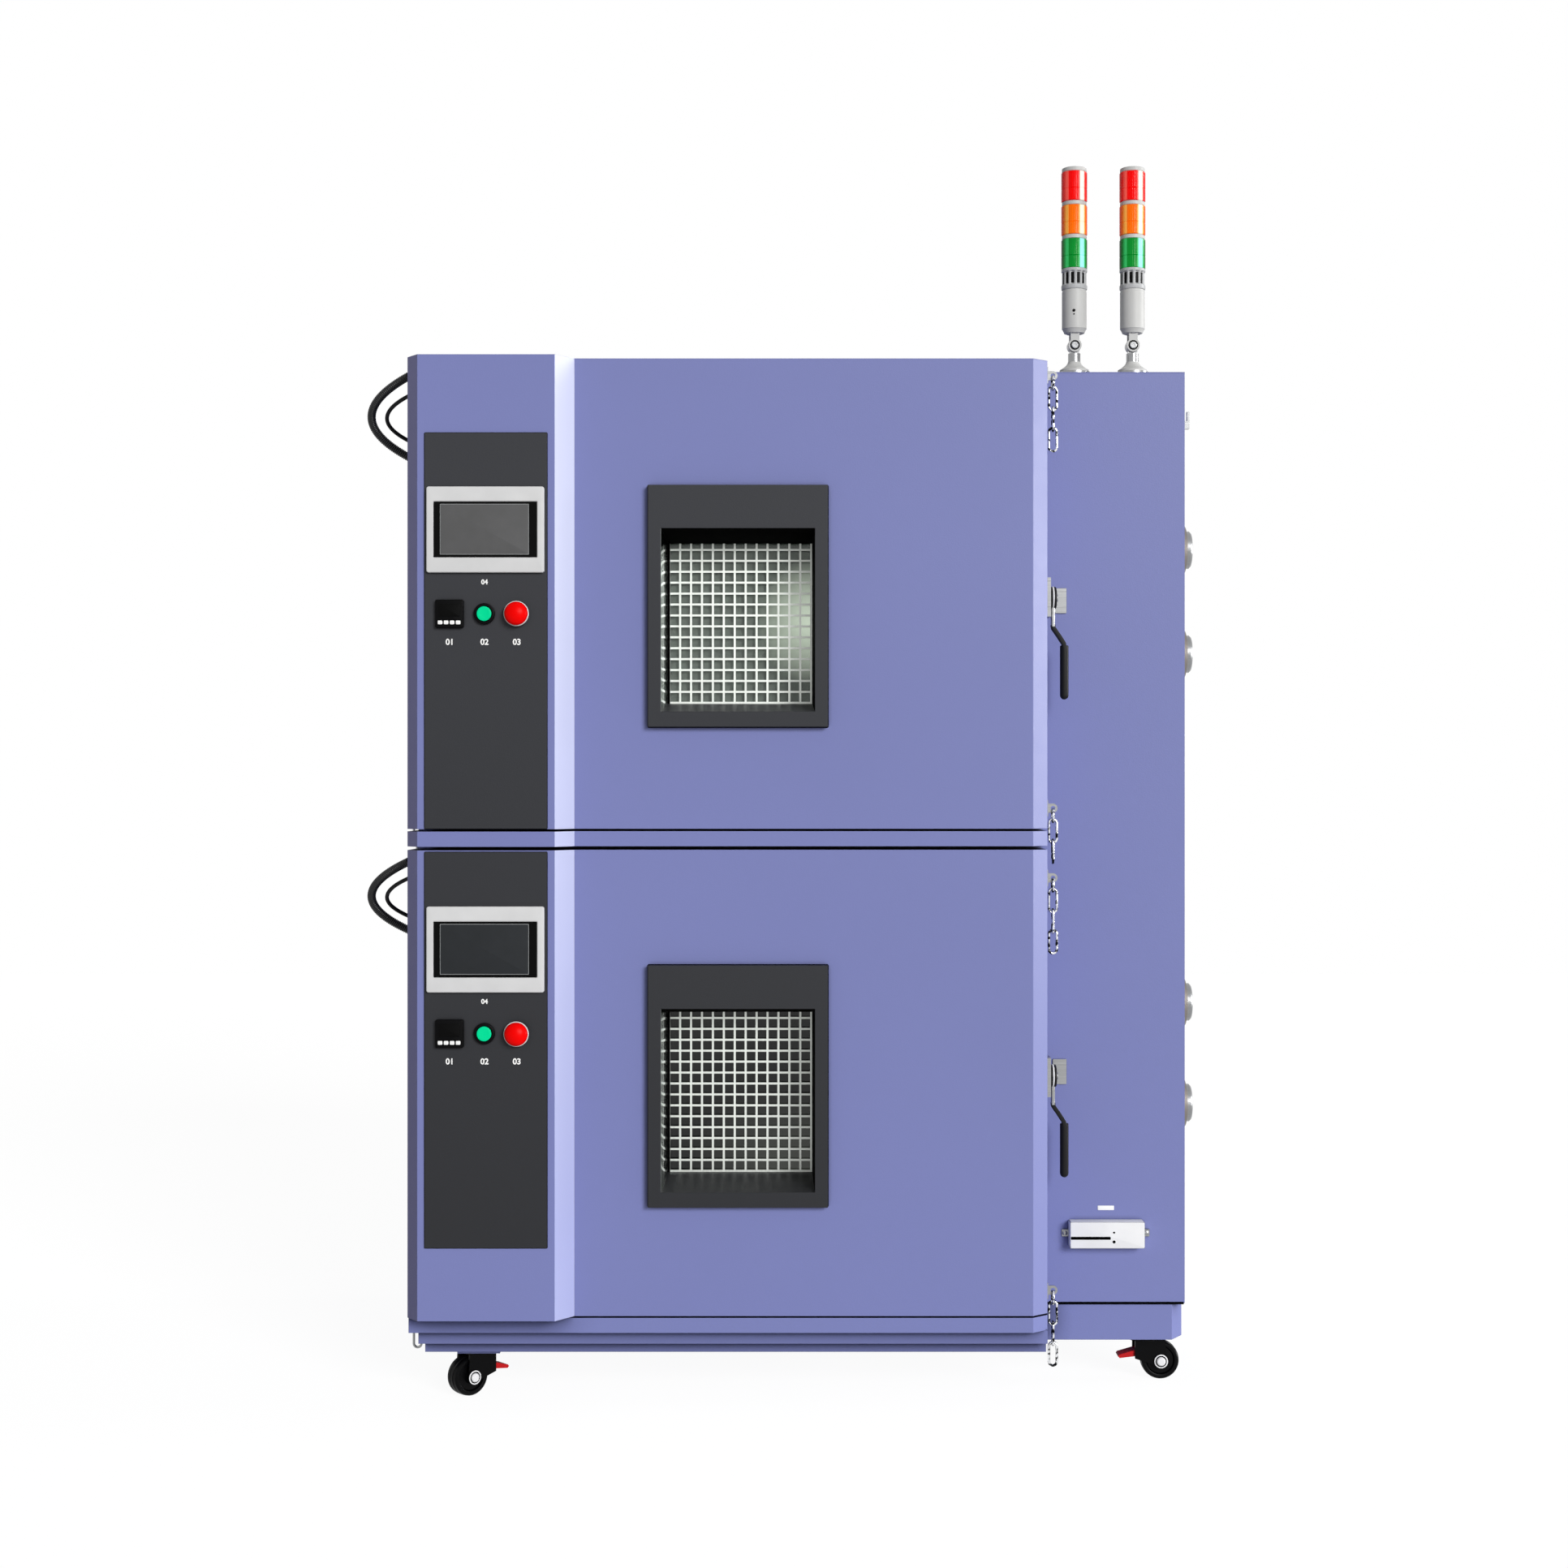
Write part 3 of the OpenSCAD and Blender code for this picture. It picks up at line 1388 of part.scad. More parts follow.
// Latch pin on its bracket, beside the lever's tongue
module keeper(z) {
    arm_x = hub_x + hub_t / 2 - arm_t / 2;
    web_x = arm_x + arm_t + 4;
    pin_y = door_back_y - 4;
    union() {
        block([web_x, bay_front_y - 3, z - 22], [web_x + 24, bay_front_y, z + 22]);
        block([web_x, pin_y - 8, z - 10], [web_x + 4, bay_front_y - 1, z + 10]);
        rod_x(arm_x - 1, web_x + 1, pin_y, z, latch_pin_d);
    }
}

hook_down = 100;
module side_hook() {
    z = cab_top - hook_down;
    block([bay_right, bay_front_y + 40, z], [bay_right + 4, bay_front_y + 64, z + 43]);
    block([bay_right + 4, bay_front_y + 46, z + 6], [bay_right + 16, bay_front_y + 58, z + 20]);
    block([bay_right + 12, bay_front_y + 46, z + 20], [bay_right + 16, bay_front_y + 58, z + 37]);
}

module service_box() {
    y = bay_front_y - box_t;
    difference() {
        union() {
            block([box_x, y, box_z], [box_x + box_w, bay_front_y, box_z + box_h]);
            block(
                [box_x - 12, bay_front_y - 3, box_z + box_h / 2 - 6],
                [box_x + box_w + 12, bay_front_y, box_z + box_h / 2 + 6]
            );
        }
        block([box_x - 1, y - 1, box_z + 8], [box_x + 70, y + 6, box_z + 12]);
        for (dz = [12, 22]) rod_y(box_x + 84, y - 1, y + 2, box_z + dz, 5);
    }
}

// Signal towers

// The towers fold sideways, about pins that run from front to back
tower_pin_d = 8;
tower_knuckle_d = 24;
tower_cheek = 5;
module tower_base(x) {
    half_t = knuckle_t / 2;
    translate([x, tower_y, 0]) difference() {
        union() {
            translate([0, 0, cab_top]) cylinder(h = 5, d = foot_d);
            translate([0, 0, cab_top + 4]) cylinder(h = tower_fold_up - 18, d = post_d);
            block([-8, -half_t, cab_top + 20], [8, half_t, tower_fold_z]);
            rod_y(0, -half_t, half_t, tower_fold_z, tower_knuckle_d);
        }
        rod_y(0, -knuckle_t, knuckle_t, tower_fold_z, tower_pin_d + 2 * run);
    }
}
tower_y = bay_front_y + tower_in;

module tower(x) {
    inner = knuckle_t / 2 + slip;
    outer = inner + tower_cheek;
    body_z = tower_fork_h;
    collar_z = body_z + tower_body_h;
    lens_z = collar_z + tower_collar_h;
    step = lens_h + ring_h;
    translate([x, tower_y, tower_fold_z]) {
        color("#e9eaec") union() {
            for (y = [-outer, inner]) {
                rod_y(0, y, y + tower_cheek, 0, tower_knuckle_d);
                block([-8, y, 0], [8, y + tower_cheek, body_z + 1]);
            }
            rod_y(0, -outer - 2, outer + 2, 0, tower_pin_d);
            translate([0, 0, body_z - 8]) cylinder(h = 9, d1 = 36, d2 = lens_d - 4);
            translate([0, 0, body_z]) cylinder(h = tower_body_h, d = lens_d - 2);
        }
        color("#d5d7da") translate([0, 0, collar_z + tier_gap]) difference() {
            cylinder(h = tower_collar_h - tier_gap, d = lens_d);
            for (a = [0:30:330])
                rotate([0, 0, a]) translate([lens_d / 2, 0, 8]) cylinder(h = tower_collar_h - 16, d = 5);
        }
        for (i = [0:2]) {
            color(["#0c8a3c", "#f08a12", "#e61c1c"][i]) translate([0, 0, lens_z + i * step + tier_gap])
                cylinder(h = lens_h - tier_gap, d = lens_d);
            color("#f2f3f4") translate([0, 0, lens_z + i * step + lens_h + tier_gap])
                cylinder(h = ring_h - tier_gap, d = lens_d - 2);
        }
    }
}

// Casters: each swivel keeps its own angle; the wheel trails along +X before it is turned

module at_caster(i, turn) {
    translate([caster_places[i][0], caster_places[i][1], 0]) rotate([0, 0, turn]) children();
}

module fork() {
    leg_y = wheel_w / 2 + 1.5;
    back = pedal_x - 6;
    color(black) difference() {
        union() {
            translate([0, 0, crown_top - fork_t]) cylinder(h = fork_t, d = swivel_d);
            block([back, -leg_y - fork_t, crown_top - fork_t], [trail, leg_y + fork_t, crown_top]);
            for (s = [-1, 1])
                translate([0, s > 0 ? leg_y + fork_t : -leg_y, 0]) rotate([90, 0, 0])
                    linear_extrude(fork_t) union() {
                        polygon([
                            [back, crown_top], [back, axle_z + 4], [trail - 8, axle_z - 8],
                            [trail + 11, axle_z], [trail + 8, crown_top]
                        ]);
                        translate([trail, axle_z]) circle(11);
                    }
            rod_y(trail, -leg_y - fork_t - 3, leg_y + fork_t + 3, axle_z, axle_d);
            rod_y(pedal_x, -leg_y - 1, leg_y + 1, pedal_z, pedal_pin_d);
        }
        translate([0, 0, crown_top - fork_t - 1]) cylinder(h = fork_t + 2, d = kingpin_d + 2 * run);
    }
}

module wheel() {
    r = wheel_d / 2;
    color("#242426") translate([trail, 0, axle_z]) rotate([90, 0, 0]) rotate_extrude() polygon([
        [axle_d / 2 + run, -wheel_w / 2], [12, -wheel_w / 2], [13, -wheel_w / 2 + 4],
        [r - 9, -wheel_w / 2 + 4], [r - 7, -wheel_w / 2], [r - 3, -wheel_w / 2],
        [r, -wheel_w / 2 + 4], [r, -6], [r - 1.5, -5], [r, -4],
        [r, 4], [r - 1.5, 5], [r, 6], [r, wheel_w / 2 - 4], [r - 3, wheel_w / 2], [r - 7, wheel_w / 2],
        [r - 9, wheel_w / 2 - 4], [13, wheel_w / 2 - 4], [12, wheel_w / 2], [axle_d / 2 + run, wheel_w / 2]
    ]);
}

// Brake pedal on its cross pin at the back of the fork
module pedal() {
    half = wheel_w / 2 + 0.5;
    r = pedal_pin_d;
    color("#c3161c") translate([pedal_x, half, pedal_z]) rotate([90, 0, 0]) difference() {
        union() {
            cylinder(h = 2 * half, r = r);
            linear_extrude(2 * half) polygon([[0, -r], [-33, -10], [-36, -7], [-34, -4], [0, r]]);
        }
        translate([0, 0, -1]) cylinder(h = 2 * half + 2, d = pedal_pin_d + 2 * run);
    }
}

turns = [-140, 0, 20, -20];

side_panels();
roof_panel();
rear_panel();
service_panel();
front_frame();
base_frame();
chamber_liners();
shelf_racks();
insulation();
fan_motors();
port_tubes();
cabinet_fittings();
door_shell(  // upper_door_shell
    upper_door_z, upper_door_h, upper_opening_z, upper_plate_z
);
inner_panel(upper_opening_z, upper_chamber_z);  // upper_inner_panel
window_bezel(upper_opening_z);  // upper_window_bezel
window_glass(upper_opening_z);  // upper_window_glass
window_guard(upper_opening_z);  // upper_window_guard
control_plate(upper_plate_z);  // upper_control_plate
instruments(upper_plate_z);  // upper_instruments
green_button(upper_plate_z);  // upper_green_button
stop_button(upper_plate_z);  // upper_stop_button
door_fittings(  // upper_door_fittings
    upper_door_z, upper_door_h, upper_pivot_z, upper_chain_down
);
handle(upper_pivot_z);  // upper_handle
door_chains(  // upper_chains
    upper_door_z, upper_door_h, upper_chain_down, short_link_n
);
conduit(upper_door_z + upper_door_h);  // upper_conduit
door_shell(  // lower_door_shell
    lower_door_z, lower_door_h, lower_opening_z, lower_plate_z
);
inner_panel(lower_opening_z, lower_chamber_z);  // lower_inner_panel
window_bezel(lower_opening_z);  // lower_window_bezel
window_glass(lower_opening_z);  // lower_window_glass
window_guard(lower_opening_z);  // lower_window_guard
control_plate(lower_plate_z);  // lower_control_plate
instruments(lower_plate_z);  // lower_instruments
green_button(lower_plate_z);  // lower_green_button
stop_button(lower_plate_z);  // lower_stop_button
door_fittings(  // lower_door_fittings
    lower_door_z, lower_door_h, lower_pivot_z, lower_chain_down
);
handle(lower_pivot_z);  // lower_handle
door_chains(  // lower_chains
    lower_door_z, lower_door_h, lower_chain_down, link_n
);
conduit(lower_door_z + lower_door_h);  // lower_conduit
fan(fan_zs[0]);  // upper_fan
fan(fan_zs[1]);  // lower_fan
shelf(upper_chamber_z);  // upper_shelf
shelf(lower_chamber_z);  // lower_shelf
relief_hatch(upper_chamber_z);  // upper_relief_hatch
relief_hatch(lower_chamber_z);  // lower_relief_hatch
port_cap(1);  // port_cap_1
port_cap(2);  // port_cap_2
port_cap(3);  // port_cap_3
port_cap(4);  // port_cap_4
tower(tower_x[0]);  // left_tower
tower(tower_x[1]);  // right_tower
at_caster(0, turns[0]) fork();  // front_left_fork
at_caster(1, turns[1]) fork();  // front_right_fork
at_caster(2, turns[2]) fork();  // rear_left_fork
at_caster(3, turns[3]) fork();  // rear_right_fork
at_caster(0, turns[0]) wheel();  // front_left_wheel
at_caster(1, turns[1]) wheel();  // front_right_wheel
at_caster(2, turns[2]) wheel();  // rear_left_wheel
at_caster(3, turns[3]) wheel();  // rear_right_wheel
at_caster(0, turns[0]) pedal();  // front_left_pedal
at_caster(1, turns[1]) pedal();  // front_right_pedal
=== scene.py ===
# %% [markdown]
# # The looks of a two-deck explosion-proof oven
# The oven comes in as a packed construction model: sheet-metal doors, liners, hinges, ports and
# casters, all at their real size. This lesson gives every surface its finish, and adds the small
# pieces that a construction model leaves out: touch screens, corrugated conduit, signal lenses.

# %% Load the oven
import json
import math

import bmesh
import bpy
import numpy as np
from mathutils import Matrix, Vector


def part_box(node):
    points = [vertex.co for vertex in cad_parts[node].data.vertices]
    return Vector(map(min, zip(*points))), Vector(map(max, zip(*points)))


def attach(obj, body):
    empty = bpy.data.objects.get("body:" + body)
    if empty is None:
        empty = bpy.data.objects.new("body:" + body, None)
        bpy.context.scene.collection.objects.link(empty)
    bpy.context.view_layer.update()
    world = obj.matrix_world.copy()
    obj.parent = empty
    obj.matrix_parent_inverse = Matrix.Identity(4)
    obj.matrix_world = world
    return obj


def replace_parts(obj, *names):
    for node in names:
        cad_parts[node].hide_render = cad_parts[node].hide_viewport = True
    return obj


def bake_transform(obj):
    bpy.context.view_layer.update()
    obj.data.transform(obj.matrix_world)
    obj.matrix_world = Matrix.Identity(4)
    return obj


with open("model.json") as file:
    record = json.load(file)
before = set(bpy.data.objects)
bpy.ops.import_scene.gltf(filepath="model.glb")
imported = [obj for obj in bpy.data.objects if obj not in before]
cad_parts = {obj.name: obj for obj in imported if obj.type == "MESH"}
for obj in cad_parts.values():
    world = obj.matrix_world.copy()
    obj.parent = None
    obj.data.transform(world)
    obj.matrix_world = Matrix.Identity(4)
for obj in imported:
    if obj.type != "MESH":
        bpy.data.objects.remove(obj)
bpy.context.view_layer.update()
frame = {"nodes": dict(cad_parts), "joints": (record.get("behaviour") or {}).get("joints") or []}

# %% [markdown]
# The photograph was taken from straight in front, at about the height of the rail between the
# doors. A level camera keeps the upright edges upright. Its focal length is in pixels of the
# square picture, so it becomes millimetres by way of the sensor's width.

# %% Place the camera where the photographer stood
PICTURE = 1932
SENSOR_WIDTH = 36
FOCAL_PIXELS = 3013
CAMERA_PLACE = (-0.009, -4.674, 1.066)

camera_data = bpy.data.cameras.new("photo_camera")
camera_data.sensor_width = SENSOR_WIDTH
camera_data.lens = SENSOR_WIDTH * FOCAL_PIXELS / PICTURE
camera = bpy.data.objects.new("photo_camera", camera_data)
camera.location = CAMERA_PLACE
camera.rotation_euler = (math.pi / 2, 0, 0)
bpy.context.scene.collection.objects.link(camera)
bpy.context.scene.camera = camera
bpy.context.scene.view_settings.view_transform = "Standard"
print("lens", round(camera_data.lens, 1), "mm")

# %% [markdown]
# The front is lit evenly at a plain level, the slope that faces left is dark, and the slopes that
# face right carry a broad white gloss. So one lamp stands forward to the right, out of sight of
# the left slope, and a second, narrow one stands level with the front, in the direction from
# which only a slope at 40 to 55 degrees mirrors it to the camera. The sky fills the rest.

# %% Set the lamps, each by the bearing from which it shines
def add_sun(name, bearing, height, strength, softness):
    """A sun lamp. bearing is in degrees to the right of straight in front; height is above level."""
    data = bpy.data.lights.new(name, "SUN")
    data.energy = strength
    data.angle = math.radians(softness)
    lamp = bpy.data.objects.new(name, data)
    lamp.rotation_euler = (math.radians(90 - height), 0, math.radians(bearing))
    bpy.context.scene.collection.objects.link(lamp)
    return lamp


lamps = [
    add_sun("key_right", bearing=28, height=18, strength=2.75, softness=24),
    add_sun("gloss_right", bearing=96, height=5, strength=1.6, softness=13),
]
print("lamps", [lamp.name for lamp in lamps])

# %% [markdown]
# Every surface is a small tree of shader nodes. Written by hand such trees are long, so two small
# classes help: Socket turns arithmetic into Math nodes, and Tree adds any other node from its
# type, its settings and its inputs.

# %% Helpers for shader nodes
class Socket:
    """An output socket. Arithmetic on it adds a Math node and gives that node's output."""

    def __init__(self, tree, socket):
        self.tree = tree
        self.socket = socket

    def math(self, operation, a, b):
        return Tree(self.tree).node("ShaderNodeMath", {"operation": operation}, {0: a, 1: b})

    def __add__(self, other):
        return self.math("ADD", self, other)

    def __sub__(self, other):
        return self.math("SUBTRACT", self, other)

    def __rsub__(self, other):
        return self.math("SUBTRACT", other, self)

    def __mul__(self, other):
        return self.math("MULTIPLY", self, other)

    __radd__ = __add__
    __rmul__ = __mul__


class Tree:
    """A node tree, with one method that adds any node."""

    def __init__(self, tree):
        self.tree = tree

    def node(self, kind, settings, inputs, output=0):
        """Adds a node, sets it up, fills its inputs and gives one of its outputs."""
        node = self.tree.nodes.new(kind)
        for name, value in settings.items():
            if name == "stops":
                self.set_stops(node.color_ramp, value)
            else:
                setattr(node, name, value)
        self.fill(node, inputs)
        return Socket(self.tree, node.outputs[output])

    def fill(self, node, inputs):
        """Links each input that is given a Socket, and sets the others to their value."""
        for name, value in inputs.items():
            if isinstance(value, Socket):
                self.tree.links.new(value.socket, node.inputs[name])
            else:
                node.inputs[name].default_value = value

    def set_stops(self, ramp, stops):
        ramp.elements[0].position, ramp.elements[0].color = stops[0]
        ramp.elements[1].position, ramp.elements[1].color = stops[-1]
        for position, colour in stops[1:-1]:
            ramp.elements.new(position).color = colour

    def looked_at(self):
        """1 for a ray from the camera, off gloss or through glass, and 0 for one that lights."""
        rays = self.tree.nodes.new("ShaderNodeLightPath").outputs
        camera, gloss, glass = (
            Socket(self.tree, rays[f"Is {kind} Ray"]) for kind in ("Camera", "Glossy", "Transmission")
        )
        return camera.math("MAXIMUM", camera.math("MAXIMUM", camera, gloss), glass)


# %% [markdown]
# The background is white. The world shows white to the camera, to gloss and through glass, and
# lights the object with less than that, so that pale parts keep their tone.

# %% Make the sky
SKY_LIGHT = 0.225
WHITE = (1, 1, 1, 1)

world = bpy.data.worlds.new("studio")
bpy.context.scene.world = world
world.use_nodes = True
sky = Tree(world.node_tree)
sky.tree.nodes.clear()
brightness = sky.node(
    "ShaderNodeMapRange", {}, {"Value": sky.looked_at(), "To Min": SKY_LIGHT, "To Max": 1.0},
    "Result",
)
glow = sky.node("ShaderNodeBackground", {}, {"Color": WHITE, "Strength": brightness})
sky.fill(sky.tree.nodes.new("ShaderNodeOutputWorld"), {"Surface": glow})
print("sky lights the oven at", SKY_LIGHT)

# %% [markdown]
# A finish is a material with patterns that every finish here shares: noise, a mix of two colours
# and relief. They read Object coordinates, which are metres on the real oven and ride with the
# piece.

# %% Helpers for finishes
def paint_colour(red, green, blue):
    """A colour read off a picture, 0 to 255, as the linear numbers that shaders use."""
    values = np.array([red, green, blue]) / 255
    linear = np.where(values > 0.04045, ((values + 0.055) / 1.055) ** 2.4, values / 12.92)
    return (*linear.tolist(), 1)


def scaled(colour, share):
    """A colour with its red, green and blue times share, at most 1."""
    return (*(min(value * share, 1) for value in colour[:3]), 1)


class Finish(Tree):
    """A material on Object coordinates, with its Principled shader at hand."""

    def __init__(self, name):
        self.material = bpy.data.materials.new(name)
        self.material.use_nodes = True
        super().__init__(self.material.node_tree)
        self.shader = self.tree.nodes["Principled BSDF"]
        self.place = self.node("ShaderNodeTexCoord", {}, {}, "Object")

    def noise(self, scale, detail=2.0, stretch=(1, 1, 1)):
        """Noise from 0 to 1; stretch scales the axes, so a small number draws it out."""
        spot = self.node("ShaderNodeMapping", {}, {"Vector": self.place, "Scale": stretch})
        return self.node(
            "ShaderNodeTexNoise", {}, {"Vector": spot, "Scale": scale, "Detail": detail}, "Fac"
        )

    def mix(self, factor, first, second):
        """The first colour at factor 0 and the second at 1."""
        return self.node(
            "ShaderNodeMix", {"data_type": "RGBA"}, {0: factor, 6: first, 7: second}, 2
        )

    def bump(self, height, distance, edge=0.0):
        """Relief: height times distance, in metres. edge is the radius that rounds sharp bends."""
        inputs = {"Height": height, "Distance": distance}
        if edge:
            inputs["Normal"] = self.node("ShaderNodeBevel", {"samples": 6}, {"Radius": edge})
        self.set(Normal=self.node("ShaderNodeBump", {}, inputs))

    def set(self, **values):
        """Fills the Principled shader's sockets; an underscore stands for a space."""
        self.fill(self.shader, {name.replace("_", " "): value for name, value in values.items()})
        return self.material


# %% [markdown]
# The floor is a pale sheet under the oven. To the camera it is almost white, as the cut-out
# photograph is, but it still takes a little of the oven's shadow, so that the casters stand on
# something.

# %% Lay the floor
FLOOR_HALF = 9.0
FLOOR_GREY = (0.86, 0.86, 0.86, 1)
SHADOW_SHARE = 0.14
FLOOR_GLOW = 1.09

floor_mesh = bpy.data.meshes.new("studio_floor")
floor_mesh.from_pydata(
    [(x * FLOOR_HALF, y * FLOOR_HALF, 0) for x, y in ((-1, -1), (1, -1), (1, 1), (-1, 1))],
    [], [(0, 1, 2, 3)],
)
floor = bpy.data.objects.new("studio_floor", floor_mesh)
bpy.context.scene.collection.objects.link(floor)

pale_floor = Finish("floor_white")
pale_floor.set(Base_Color=FLOOR_GREY, Roughness=0.9, Specular_IOR_Level=0.1)
matte = Socket(pale_floor.tree, pale_floor.shader.outputs[0])
bright = pale_floor.node("ShaderNodeEmission", {}, {"Color": WHITE, "Strength": FLOOR_GLOW})
mixed = pale_floor.node(
    "ShaderNodeMixShader", {},
    {0: pale_floor.looked_at() * (1 - SHADOW_SHARE), 1: matte, 2: bright},
)
pale_floor.fill(pale_floor.tree.nodes["Material Output"], {"Surface": mixed})
floor_mesh.materials.append(pale_floor.material)
print("floor", 2 * FLOOR_HALF, "m square")

# %% [markdown]
# The cabinet is powder coated in lavender. Powder coat isn't mirror smooth: it has an orange peel
# a few millimetres across, its gloss varies a little, and the colour drifts by a hair over a large
# sheet. Three noises of different size give these, and none is strong enough to be seen alone.
# Folded sheet is never sharp at its bends: a Bevel node rounds the light there by 1.6 mm. Under
# ledges and in seams an Ambient Occlusion node darkens the coat: painted shade where little light
# comes. The slope beside the column is painted nearly white, a painted highlight, though no lamp
# reaches it past the door, and the slope on the far left is painted nearly black as shade, so their
# coats are pale and deep: the face's own normal tells where each slope is. Both are painted paler
# towards their top.

# %% The cabinet's lavender powder coat
RIGHT_SLOPE, LEFT_SLOPE = (0.807, -0.590, 0), (-0.819, -0.574, 0)
COS_13_DEGREES, COS_7_DEGREES = 0.975, 0.992
# The third is the share of the colour left in the darkest painted seam shade.
PALEST, DEEPEST, SEAM_SHADE = 1.034, 0.957, 0.05
BEND_RADIUS = 0.0016


def on_the_slope(finish, direction):
    """The mask of a slope's painted light: 1 where a flat face looks within 7 degrees of the
    direction, 0 from 13 degrees on. The world's normal is turned into the piece's own axes, so the
    coat stays when a door swings."""
    normal = finish.node("ShaderNodeNewGeometry", {}, {}, "True Normal")
    facing = finish.node(
        "ShaderNodeVectorTransform",
        {"vector_type": "NORMAL", "convert_from": "WORLD", "convert_to": "OBJECT"}, {0: normal},
    )
    likeness = finish.node(
        "ShaderNodeVectorMath", {"operation": "DOT_PRODUCT"}, {0: facing, 1: direction}, "Value"
    )
    return finish.node(
        "ShaderNodeMapRange", {"interpolation_type": "SMOOTHSTEP"},
        {"Value": likeness, "From Min": COS_13_DEGREES, "From Max": COS_7_DEGREES}, "Result",
    )


def powder_coat(name, colour, gloss, peel, shine, foot=1.0, slopes=(), ledge_shade=(0.018, 0.22, 0.72)):
    """Powder coat: large soft drift in colour, fine drift in gloss, and orange peel. foot is the
    brightness at floor level, a painted shade towards the floor. slopes holds a direction and the
    painted colours of light and shade at its foot and top. The last argument holds how far the
    painted shade under ledges and in seams reaches, and the shares of open sky for darkest and
    unchanged."""
    finish = Finish(name)
    coat = finish.mix(finish.noise(2.2, 3.0), scaled(colour, DEEPEST), scaled(colour, PALEST))
    height = finish.node("ShaderNodeSeparateXYZ", {}, {"Vector": finish.place}, "Z")
    up = finish.node("ShaderNodeMapRange", {}, {"Value": height, "From Min": 0.3, "From Max": 1.5})
    # Painted shade: the coat darkens to foot times its colour towards the floor.
    if foot != 1.0:
        coat = finish.mix(up, scaled(colour, foot), coat)
    # Painted light: right slope pale as a highlight, left slope deep as shade, both paler at the top.
    for direction, low, high in slopes:
        coat = finish.mix(on_the_slope(finish, direction), coat, finish.mix(up, low, high))
    reach, darkest, unchanged = ledge_shade
    # Painted shade: Ambient Occlusion darkens the coat under ledges and in seams.
    open_sky = finish.node("ShaderNodeAmbientOcclusion", {"samples": 8}, {"Distance": reach}, "AO")
    open_share = finish.node(
        "ShaderNodeMapRange", {},
        {"Value": open_sky, "From Min": darkest, "From Max": unchanged}, "Result",
    )
    coat = finish.mix(open_share, scaled(colour, SEAM_SHADE), coat)
    finish.bump(finish.noise(420, 2.0) + 0.35 * finish.noise(1500, 1.0), peel, edge=BEND_RADIUS)
    return finish.set(
        Base_Color=coat,
        Roughness=gloss + 0.08 * finish.noise(38, 3.0),
        Specular_IOR_Level=shine,
    )


lavender = powder_coat(
    "lavender_powder_coat", paint_colour(116, 122, 174), 0.33, 0.00012, 0.28,
    # Painted colours of the slopes: highlight on the right slope, shade on the left, foot then top.
    slopes=((RIGHT_SLOPE, paint_colour(176, 181, 224), paint_colour(212, 216, 241)),
            (LEFT_SLOPE, paint_colour(58, 58, 118), paint_colour(82, 82, 137))),
)
# The plinth's painted shade reaches 60 mm under its ledge.
plinth_coat = powder_coat(
    "plinth_powder_coat", paint_colour(121, 127, 177), 0.45, 0.00012, 0.03, ledge_shade=(0.06, 0.42, 1.0)
)
# The anthracite coat is painted darker towards the floor, as shade.
anthracite = powder_coat(
    "anthracite_powder_coat", paint_colour(48, 49, 53), 0.42, 0.00010, 0.2, foot=0.62
)
motor_grey = powder_coat("motor_grey_paint", paint_colour(108, 116, 120), 0.45, 0.00016, 0.3)
print("coats:", lavender.name, plinth_coat.name, anthracite.name, motor_grey.name)

# %% [markdown]
# The liners, shelves, ports and hinges are stainless steel. Rolled and brushed sheet has fine
# lines along one direction: noise drawn out a few hundred times along that axis gives both the
# streaks in the gloss and a very shallow relief.

# %% Stainless steel, brushed along one axis
def brushed_steel(name, colour, gloss, along):
    """Brushed metal: along is 0, 1 or 2 for lines that run along X, Y or Z."""
    finish = Finish(name)
    stretch = [1.0, 1.0, 1.0]
    stretch[along] = 0.006
    lines = finish.noise(900, 2.0, stretch)
    finish.bump(lines, 0.00005)
    return finish.set(
        Base_Color=finish.mix(lines, scaled(colour, 0.72), colour),
        Metallic=1.0,
        Roughness=gloss + 0.16 * lines,
    )


liner_steel = brushed_steel("liner_steel", paint_colour(205, 208, 208), 0.26, 2)
fitting_steel = brushed_steel("fitting_steel", paint_colour(158, 159, 160), 0.22, 0)
port_steel = brushed_steel("port_steel", paint_colour(140, 134, 130), 0.3, 0)
guard_steel = brushed_steel("guard_steel", paint_colour(216, 220, 214), 0.36, 2)
mirror_steel = brushed_steel("mirror_steel", paint_colour(196, 202, 200), 0.05, 1)
print("steels:", liner_steel.name, fitting_steel.name, port_steel.name, guard_steel.name)

# %% [markdown]
# The chain is bright zinc with dark patches of painted shade and dark reflection. A coarse noise
# picks the dark places, and a ramp makes its edge steep.

# %% Bright chain
def plated_chain():
    """Bright zinc over a dark colour of painted shade; the zinc shows where the noise is over a half.
    """
    finish = Finish("bright_chain")
    cloud = finish.noise(150, 3.0)
    unshaded_zinc = finish.node(
        "ShaderNodeValToRGB", {"stops": [(0.46, (0, 0, 0, 1)), (0.54, WHITE)]}, {"Fac": cloud}
    )
    finish.bump(finish.noise(1400, 2.0), 0.00006)
    return finish.set(
        # Painted shade: the near-black colour stands in for shade and dark reflection on the links.
        Base_Color=finish.mix(unshaded_zinc, paint_colour(16, 17, 20), paint_colour(232, 233, 235)),
        Metallic=1.0,
        Roughness=0.36 - 0.2 * unshaded_zinc,
    )


chain_bright = plated_chain()
print("chain:", chain_bright.name)

# %% [markdown]
# Plastics and rubber differ in gloss and grain. Moulded plastic has a spark-eroded grain finer
# than a millimetre; rubber is duller and its grain is coarser.

